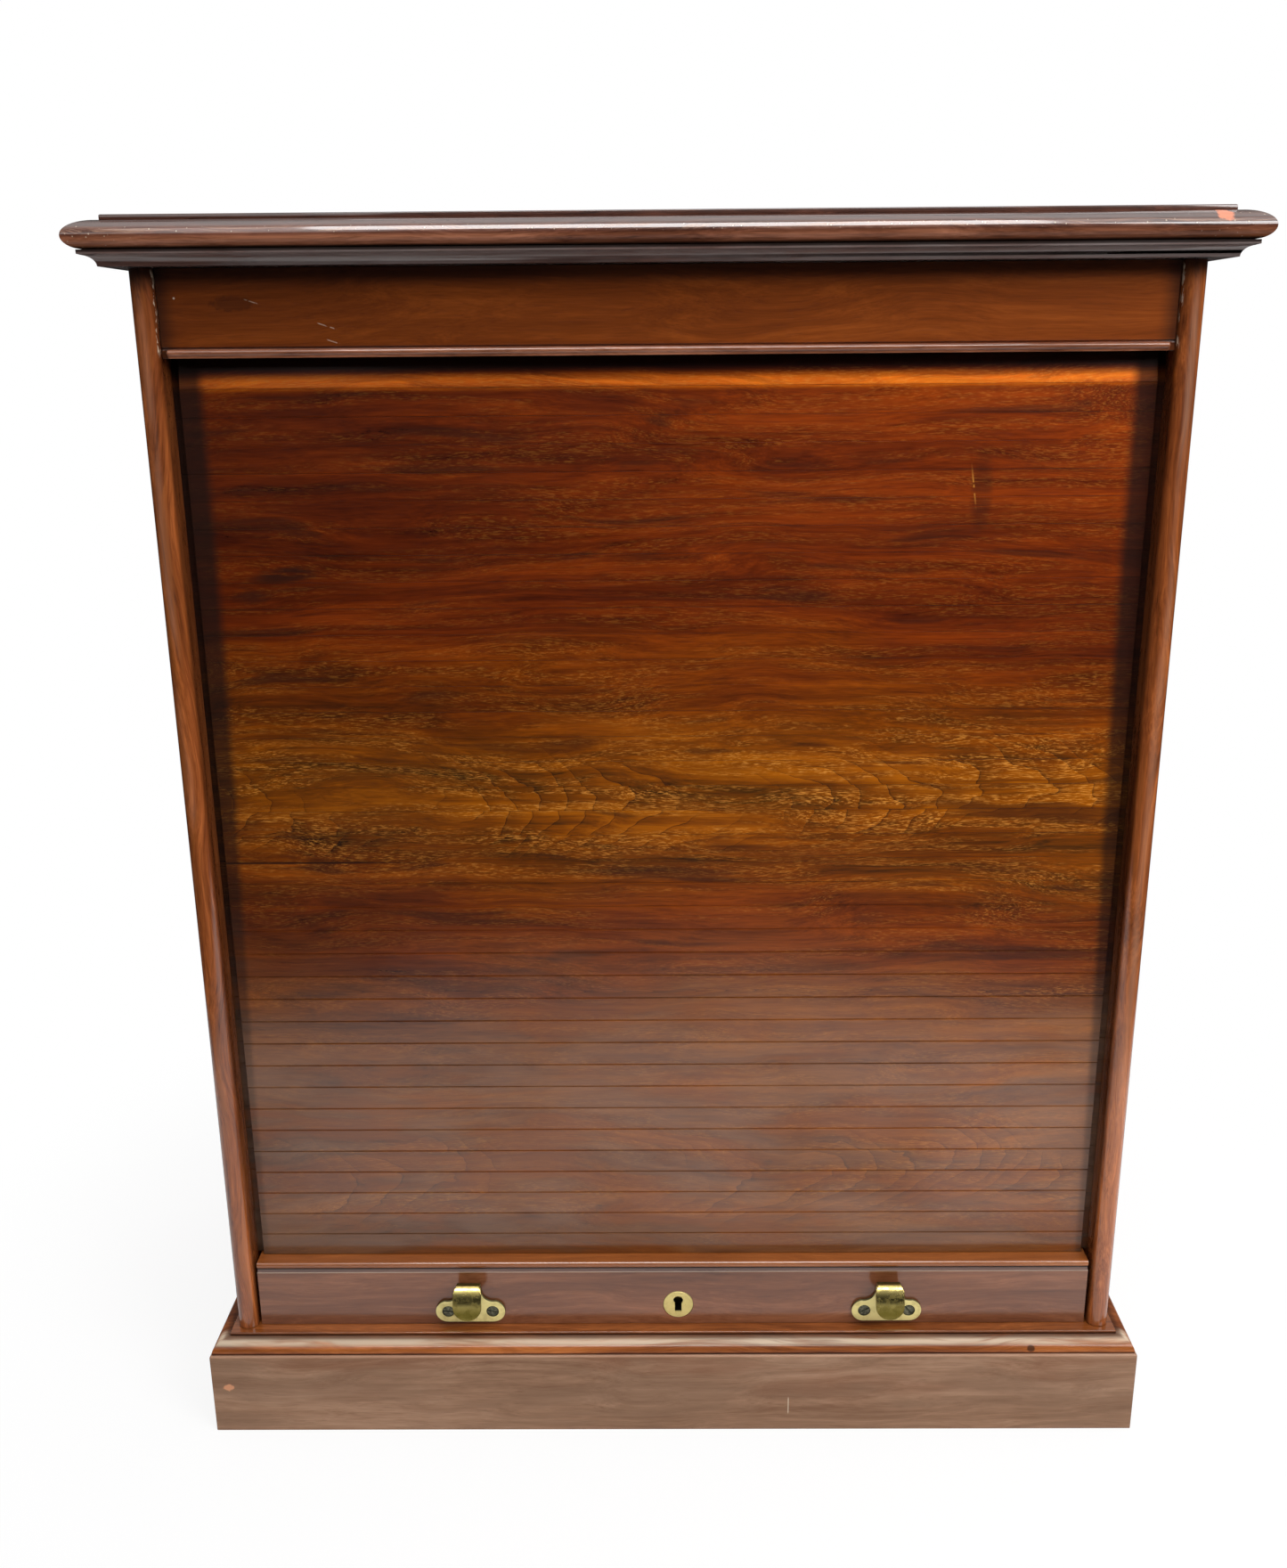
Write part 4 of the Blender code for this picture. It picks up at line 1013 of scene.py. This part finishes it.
class CABINET_OT_hook_lifts(Maker, bpy.types.Operator):
    """Brass hook lifts with their steel screws"""

    bl_idname = "cabinet.hook_lifts"
    bl_label = "Hook Lifts"

    def make(self, sizes, colours):
        plate_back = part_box("hook_lift_left")[1].y
        metal = hook_finish(colours, plate_back - sizes.plate_thickness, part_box("hook_lift_left")[0].z)
        steel = steel_finish(colours)
        hook = self.make_hook(sizes)
        screw = self.make_screw(sizes)
        for side, turns in (("left", (4, 12)), ("right", (-30, 48))):
            low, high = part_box(f"hook_lift_{side}")
            foot = Vector(((low.x + high.x) / 2, plate_back, low.z))
            piece = self.copy_at(hook, f"hook_lift_{side}_worked", Matrix.Translation(foot))
            finish_piece(piece, metal, "lift", "hook_brass", f"hook_lift_{side}")
            labels = ("outer", "inner") if side == "left" else ("inner", "outer")
            for label, turn in zip(labels, turns):
                node = f"hook_screw_{side}_{label}"
                low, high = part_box(node)
                seat = Vector(((low.x + high.x) / 2, plate_back, (low.z + high.z) / 2))
                place = Matrix.Translation(seat) @ Matrix.Rotation(math.radians(turn), 4, "Y")
                piece = self.copy_at(screw, f"{node}_worked", place)
                finish_piece(piece, steel, "lift", "screw_steel", node)
        bpy.data.objects.remove(hook)
        bpy.data.objects.remove(screw)

    def copy_at(self, source, name, place):
        piece = add(name, source.data.copy())
        piece.data.transform(place)
        return piece

    def make_hook(self, sizes):
        """One hook lift, its plate's back in the plane y = 0 and its foot at the origin."""
        thickness, radius = sizes.plate_thickness, sizes.lobe_radius
        bend_z = radius + sizes.hook_rise
        reach = sizes.lobe_spacing / 2 + radius
        wide = sizes.neck_width / 2 + sizes.flare_radius
        neck_top = bend_z - sizes.neck_clearance
        plate = start_block("hook", (-reach, -thickness, 0), (reach, 0, 2 * radius))
        pick("EDGE", lambda edge: runs_along(edge, "Y"))
        bpy.ops.mesh.bevel(offset=radius * 0.999, segments=12, affect="EDGES")
        for side in (-1, 1):
            bpy.ops.mesh.select_all(action="SELECT")
            bpy.ops.mesh.bisect(plane_co=(side * wide * 0.95, 0, 0), plane_no=(1, 0, 0))
        pick("FACE", lambda face: face.normal.z > FACING and abs(face.calc_center_median().x) < wide / 2)
        bpy.ops.mesh.extrude_region_move(TRANSFORM_OT_translate={"value": (0, 0, neck_top - 2 * radius)})
        to_object()
        hollow_z = 2 * radius + sizes.flare_radius - 0.0004
        for side in (-1, 1):
            hollow = start_disc("hollow", (side * wide, CUT_PAST, hollow_z), sizes.flare_radius, CUTTER_DEPTH)
            cut_with(plate, hollow)
            screw_x = side * sizes.screw_spacing / 2
            hole = start_disc("hole", (screw_x, CUT_PAST, radius), sizes.screw_radius, CUTTER_DEPTH, 32)
            cut_with(plate, hole)
        ease_edges(plate, PLATE_ARRIS, 2, 50)
        cut_with(plate, self.make_strap(sizes, bend_z), "UNION")
        return plate

    def make_strap(self, sizes, bend_z):
        """Up out of the plate, over the bend and down in a long oval to a round tip, wider at the front."""
        half, step = sizes.neck_width / 2, sizes.strap_thickness
        back = -0.0002
        strap = start_block("strap", (-half, back - step, bend_z - 0.0100), (half, back, bend_z))
        pick("FACE", lambda face: face.normal.z > FACING)
        bend = sizes.bend_radius
        middle = Vector((0, back - step / 2 - bend, bend_z))
        bpy.ops.mesh.spin(steps=8, angle=-math.pi / 2, center=middle, axis=(1, 0, 0))
        steps, last_turn = 32, math.radians(10)
        oval = (sizes.strap_drop + bend) / (1 - math.sin(last_turn))
        tip_radius = sizes.strap_width / 2
        place, lean, width = middle + Vector((0, 0, bend)), math.pi / 2, half
        for i in range(1, steps + 1):
            turn = math.pi / 2 + (last_turn - math.pi / 2) * i / steps
            fall = oval * (1 - math.sin(turn))
            here = middle + Vector((0, -bend * math.cos(turn), bend - fall))
            slope = math.atan2(bend * math.sin(turn), oval * math.cos(turn))
            left = sizes.strap_drop + bend - fall
            wide = half + (tip_radius - half) * min(1.0, 3 * i / steps)
            if left < tip_radius:
                wide = max(0.001, math.sqrt(max(0.0, tip_radius**2 - (tip_radius - left) ** 2)))
            bpy.ops.mesh.extrude_region_move(TRANSFORM_OT_translate={"value": here - place})
            bpy.ops.transform.rotate(value=slope - lean, orient_axis="X", center_override=here)
            bpy.ops.transform.resize(value=(wide / width, 1, 1), center_override=here)
            place, lean, width = here, slope, wide
        bpy.ops.mesh.select_all(action="SELECT")
        bpy.ops.mesh.normals_make_consistent(inside=False)
        to_object()
        ease_edges(strap, STRAP_ARRIS, 3, 55)
        return strap

    def make_screw(self, sizes):
        """A countersunk head seen from the front, its middle on the y axis, with a filed slot."""
        depth, half_slot, slot_floor = 0.0015, 0.00045, -0.0008
        screw = start_disc("screw", (0, 0, 0), sizes.screw_radius - FIT_GAP, depth, 32)
        pick("EDGE", lambda edge: all(vertex.co.y < SAME_PLANE - depth for vertex in edge.verts))
        bpy.ops.mesh.bevel(offset=BRASS_RIM, segments=3, affect="EDGES")
        to_object()
        reach = sizes.screw_radius + 0.001
        slot = start_block("slot", (-reach, -2 * depth, -half_slot), (reach, slot_floor, half_slot))
        cut_with(screw, slot)
        return screw


class CABINET_OT_lock(Maker, bpy.types.Operator):
    """Brass escutcheon with its keyhole, and the lock behind it"""

    bl_idname = "cabinet.lock"
    bl_label = "Lock"

    def make(self, sizes, colours):
        low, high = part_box("escutcheon")
        middle = (low + high) / 2
        back = Vector((middle.x, high.y, middle.z))
        disc = start_disc("escutcheon_worked", back, (high.x - low.x) / 2, high.y - low.y, 64)
        pick("EDGE", lambda edge: all(vertex.co.y < low.y + SAME_PLANE for vertex in edge.verts))
        bpy.ops.mesh.bevel(offset=BRASS_RIM, segments=3, affect="EDGES")
        to_object()
        round_part = back + Vector((0, CUT_PAST, sizes.keyhole_rise))
        hole = start_disc("hole", round_part, sizes.keyhole_radius, CUTTER_DEPTH, 32)
        cut_with(disc, hole)
        foot = round_part.z - sizes.keyhole_drop
        half = sizes.keyhole_slot / 2
        near = (middle.x - half, low.y - CUT_PAST, foot)
        slot = start_block("slot", near, (middle.x + half, high.y + CUT_PAST, round_part.z))
        cut_with(disc, slot)
        satin = brass_finish("escutcheon_brass", colours, 0.12, 0.32, 0.35)
        finish_piece(disc, satin.material, "lift", "escutcheon_brass", "escutcheon")
        give_finish("lock_case", self.case_finish(colours, middle))
        give_finish("strike_plate", brass_finish("strike_brass", colours, 0.9, 0.4).material)
        give_finish("lock_bolt", brass_finish("bolt_brass", colours, 0.4, 0.25).material)

    def case_finish(self, colours, keyhole):
        """Dull brass, with painted shade in black behind the keyhole."""
        metal = brass_finish("lock_brass", colours, 0.9, 0.4)
        x, _, z = metal.split(metal.place())
        across, up = x - keyhole.x, z - keyhole.z
        # Painted shade behind the keyhole, where the case shows through it.
        dark = ((across * across + up * up) ** 0.5).ease(0.0110, 0.0085)
        tint = metal.blend(dark * 0.95, metal.tint, colours.soot)
        return metal.surface(base_color=tint, metallic=1 - dark, roughness=metal.dull + dark * 0.4).material


class CABINET_OT_base(Maker, bpy.types.Operator):
    """Base board with its ovolo edge"""

    bl_idname = "cabinet.base"
    bl_label = "Base Board"

    def make(self, sizes, colours):
        low, high = BASE[0].z, BASE[1].z
        widest = -HALF_WIDTH - BASE[0].x
        crown = high - sizes.ovolo_drop
        profile = [(widest, low), (widest, low + sizes.ovolo_foot)]
        run, rise = widest - sizes.ovolo_spring, crown - low - sizes.ovolo_foot
        profile += ellipse((sizes.ovolo_spring, low + sizes.ovolo_foot), run, rise, 8, 88, 14)
        ledge = sizes.ledge_overhang
        profile += [(ledge, crown + 0.0001), (ledge, high - 0.0003), (ledge - 0.0003, high)]
        piece = moulded_slab("base_board_worked", profile)
        to_object()
        gap = Vector((FIT_GAP, FIT_GAP, FIT_GAP))
        start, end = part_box("strike_plate")
        recess = start_block("recess", start - gap, end + gap + Vector((0, 0, CUT_PAST)))
        cut_with(piece, recess)
        start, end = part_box("lock_bolt")
        travel = Vector((0, 0, BOLT_TRAVEL))
        mortise = start_block("mortise", start - gap - travel, end + gap)
        cut_with(piece, mortise)
        wood = polished("base_wood", "X", 29, colours.stile, 0.7)
        front = wood.y.ease(FRONT_Y + 0.004, FRONT_Y - 0.003)
        wood.gloss = wood.gloss * (1 - wood.z.ease(crown + 0.0008, crown - 0.0002) * 0.75)
        wood.mark((1 - front) * wood.z.ease(crown + 0.0008, crown) * 0.5, colours.mahogany_deep)
        # Painted highlight: the upper half of the ovolo is painted pale in broken patches, in the filler
        # colour.
        worn = wood.z.ease(crown - 0.0030, crown - 0.0010) * wood.z.ease(crown + 0.0003, crown - 0.0004)
        patchy_highlight = wood.grain(14, 200, 0.30, 0.56) * 0.55 + 0.28
        wood.mark(worn * front * patchy_highlight, colours.filler, 0.1)
        orange = wood.z.ease(low + 0.0008, low + 0.0018) * wood.z.ease(crown - 0.0020, crown - 0.0032)
        amber = wood.ramp(wood.tone, tones(colours.amber, 0.5, 1.6))
        wood.mark(orange * 0.8, amber)
        # Painted shade at the foot of the base board, where it meets the plinth.
        wood.mark(wood.z.ease(low + 0.0014, low + 0.0005) * 0.8, colours.grime, 0.7)
        ledge_top = wood.z.ease(high - 0.0018, high - 0.0008)
        wood.mark(ledge_top * 0.45, amber)
        wood.mark(ledge_top * 0.24, colours.olive)
        # Painted shade in the step between the ledge and the ovolo.
        wood.mark(wood.z.around(crown + 0.0006, 0.0013) * 0.95, colours.grime, 0.9)
        smudge = wood.spot((0.2318, crown - 0.0042), (0.0030, 0.0020), 0.4)
        wood.mark(smudge * 0.75, colours.grime, 0.5)
        finish_piece(piece, wood.close(), "cabinet", "base_wood", "base_board")


class CABINET_OT_plinth(Maker, bpy.types.Operator):
    """Plinth boards, dull and faded, with knocks along their edges"""

    bl_idname = "cabinet.plinth"
    bl_label = "Plinth"

    def make(self, sizes, colours):
        for name, along, seed in (("front", "X", 31), ("left", "Y", 37), ("right", "Y", 41)):
            piece = eased_copy(f"plinth_{name}", f"plinth_{name}_worked", sizes.arris / 2)
            wood = polished(f"plinth_wood_{name}", along, seed, colours.faded, 0.5, 0.12, 0.5, 1.5)
            wood.roughness = wood.roughness + 0.12
            blotch = wood.grain(7, 60, 0.42, 0.62)
            wood.mark(blotch * 0.5, tuple(level * 0.68 for level in colours.faded))
            ruddy = wood.grain(6, 34, 0.46, 0.62) * wood.z.ease(0.004, 0.050)
            wood.mark(ruddy * 0.38, colours.rail)
            edge = (PLINTH[1].z - wood.z).ease(0.0016, 0.0004)
            wood.mark(edge * 0.5, colours.rubbed, 0.5)
            if name == "front":
                wood.mark(wood.spot((-0.2895, 0.0335), (0.0036, 0.0026)), colours.bare, 0.8, 0.8)
                scratch = wood.x.around(0.0757, 0.0005) * wood.z.around(0.0186, 0.0078).ease(0.0, 0.3)
                wood.mark(scratch * 0.9, colours.filler, 0.6, 0.5)
            finish_piece(piece, wood.close(), "cabinet", "plinth_wood", f"plinth_{name}")


class CABINET_OT_inner_case(Maker, bpy.types.Operator):
    """Shelves, linings, backs and blocks"""

    bl_idname = "cabinet.inner_case"
    bl_label = "Inner Case"

    def make(self, sizes, colours):
        lining = polished("inner_wood", "X", 43, colours.stile, 0.6, 0.3).close()
        for node in ("inner_top", "inner_back", "shelf_1", "shelf_2", "shelf_3"):
            give_finish(node, lining)
        back = polished("back_wood", "Z", 47, colours.backing, 0.6, 0.0, 0.5, 1.5).close()
        for node in ("back_panel", "plinth_back", "cornice_back"):
            give_finish(node, back)
        deal = polished("block_wood", "Z", 53, colours.deal, 0.5, 0.0, 0.6, 1.3).close()
        for end in ("front", "back"):
            for side in ("left", "right"):
                give_finish(f"glue_block_{end}_{side}", deal)


def give_finish(node, finish):
    """Puts the finish on a plain node that keeps its shape."""
    mesh = frame["nodes"][node].data
    mesh.materials.clear()
    mesh.materials.append(finish)


class CABINET_OT_studio(bpy.types.Operator):
    """Pale floor, soft lamps and the camera"""

    bl_idname = "cabinet.studio"
    bl_label = "Studio"
    bl_options = {"REGISTER", "UNDO"}

    def execute(self, context):
        studio = context.scene.cabinet_studio
        self.make_floor()
        self.make_sky(context, studio)
        self.make_lamps(studio)
        self.make_camera(context, studio)
        context.scene.view_settings.view_transform = "Standard"
        return {"FINISHED"}

    def make_floor(self):
        """A pale sheet under the object that ends a little way off, and looks white from there on."""
        bpy.ops.object.select_all(action="DESELECT")
        bpy.ops.mesh.primitive_plane_add(size=FLOOR_SIZE, location=(0, 0, 0))
        floor = to_edit("floor")
        to_object()
        pale = Finish("floor_pale", roughness=0.9, specular_ior_level=0.1)
        x, y, _ = pale.split(pale.place())
        away = (x * x + y * y) ** 0.5
        pale.surface(base_color=pale.blend(away.ease(0.72, 0.98), (0.86, 0.86, 0.86), (0.015, 0.015, 0.015)))
        seen = pale.node("ShaderNodeLightPath", output="Is Camera Ray")
        white = pale.node("ShaderNodeEmission", None, {"Color": (1, 1, 1), "Strength": 1.0})
        share = seen * (away.ease(0.34, 0.62) * (1 - NEAR_WHITE) + NEAR_WHITE)
        plain = Wire(pale, pale.shader.outputs[0])
        shown = pale.node("ShaderNodeMixShader", None, {0: share, 1: plain, 2: white})
        pale.feed(pale.tree.nodes["Material Output"].inputs["Surface"], shown)
        floor.data.materials.append(pale.material)

    def make_sky(self, context, studio):
        """White behind the object, and for light a room that is bright overhead and dim at the horizon."""
        world = context.scene.world or bpy.data.worlds.new("studio_sky")
        context.scene.world = world
        world.use_nodes = True
        sky = Nodes(world.node_tree)
        *_, z = sky.split(sky.node("ShaderNodeTexCoord", output="Generated"))
        level = z.ease(0.06, 0.70) * studio.sky_level + studio.room_level
        room = sky.node("ShaderNodeBackground", None, {"Color": (1, 1, 1), "Strength": level})
        white = sky.node("ShaderNodeBackground", None, {"Color": (1, 1, 1), "Strength": 1.0})
        seen = sky.node("ShaderNodeLightPath", output="Is Camera Ray")
        shown = sky.node("ShaderNodeMixShader", None, {0: seen, 1: room, 2: white})
        sky.feed(world.node_tree.nodes["World Output"].inputs["Surface"], shown)

    def make_lamps(self, studio):
        lamps = (
            ("lamp_key", (1.05, -1.25, 1.45), (0.8, 0.8), 22),
            ("lamp_fill", (-0.9, -1.9, 1.6), (0.9, 0.6), 3),
            ("lamp_above", (0.1, -0.95, 1.95), (1.8, 1.1), 16),
            ("lamp_left", (-1.9, 0.1, 0.9), (0.6, 1.4), 4),
            ("lamp_right", (1.9, 0.1, 0.9), (0.6, 1.4), 5),
            ("lamp_back", (0.6, 2.0, 1.6), (1.4, 1.2), 24),
            ("card_above", (0.02, -0.88, 1.95), (1.05, 1.0), 32),
        )
        target = Vector((0, 0, 0.38))
        for name, place, (width, height), power in lamps:
            data = bpy.data.lights.new(name, "AREA")
            data.shape = "RECTANGLE"
            data.size, data.size_y = width, height
            data.energy = power * studio.lamp_level
            lamp = add(name, data)
            lamp.location = place
            lamp.visible_glossy = name not in ("lamp_left", "lamp_right", "lamp_back")
            lamp.visible_diffuse = name != "card_above"
            lamp.rotation_euler = (target - Vector(place)).to_track_quat("-Z", "Y").to_euler()

    def make_camera(self, context, studio):
        data = bpy.data.cameras.new("camera")
        data.lens = studio.camera_lens
        data.sensor_width = SENSOR_WIDTH
        data.shift_x = studio.camera_shift
        data.clip_start = 0.01
        camera = add("camera", data)
        turn = Matrix.Rotation(studio.camera_yaw, 4, "Z")
        turn @= Matrix.Rotation(math.pi / 2 - studio.camera_pitch, 4, "X")
        turn @= Matrix.Rotation(studio.camera_roll, 4, "Z")
        camera.matrix_world = Matrix.Translation(studio.camera_place) @ turn
        context.scene.camera = camera


class CABINET_PT_panel(bpy.types.Panel):
    """Lists the sizes, the colours and the pieces"""

    bl_idname = "CABINET_PT_panel"
    bl_label = "Tambour Cabinet"
    bl_space_type = "VIEW_3D"
    bl_region_type = "UI"
    bl_category = "Cabinet"

    def draw(self, context):
        scene = context.scene
        for settings in (scene.cabinet_sizes, scene.cabinet_colours, scene.cabinet_studio):
            column = self.layout.column()
            for name in settings.__annotations__:
                column.prop(settings, name, text=name.replace("_", " ").capitalize())
        for operator in OPERATORS:
            self.layout.operator(operator.bl_idname)


SETTINGS = {
    "cabinet_sizes": CabinetSizes,
    "cabinet_colours": CabinetColours,
    "cabinet_studio": StudioSettings,
}
OPERATORS = (
    CABINET_OT_top_board,
    CABINET_OT_bed_moulding,
    CABINET_OT_side_boards,
    CABINET_OT_frieze,
    CABINET_OT_tambour,
    CABINET_OT_lift_rail,
    CABINET_OT_hook_lifts,
    CABINET_OT_lock,
    CABINET_OT_base,
    CABINET_OT_plinth,
    CABINET_OT_inner_case,
    CABINET_OT_studio,
)


def register():
    for made in (*SETTINGS.values(), *OPERATORS, CABINET_PT_panel):
        bpy.utils.register_class(made)
    for name, settings in SETTINGS.items():
        setattr(bpy.types.Scene, name, PointerProperty(type=settings))


def unregister():
    for name in SETTINGS:
        delattr(bpy.types.Scene, name)
    for made in (CABINET_PT_panel, *reversed(OPERATORS), *reversed(SETTINGS.values())):
        bpy.utils.unregister_class(made)


def main():
    register()
    for operator in OPERATORS:
        group, name = operator.bl_idname.split(".")
        getattr(getattr(bpy.ops, group), name)()


if __name__ == "__main__":
    main()
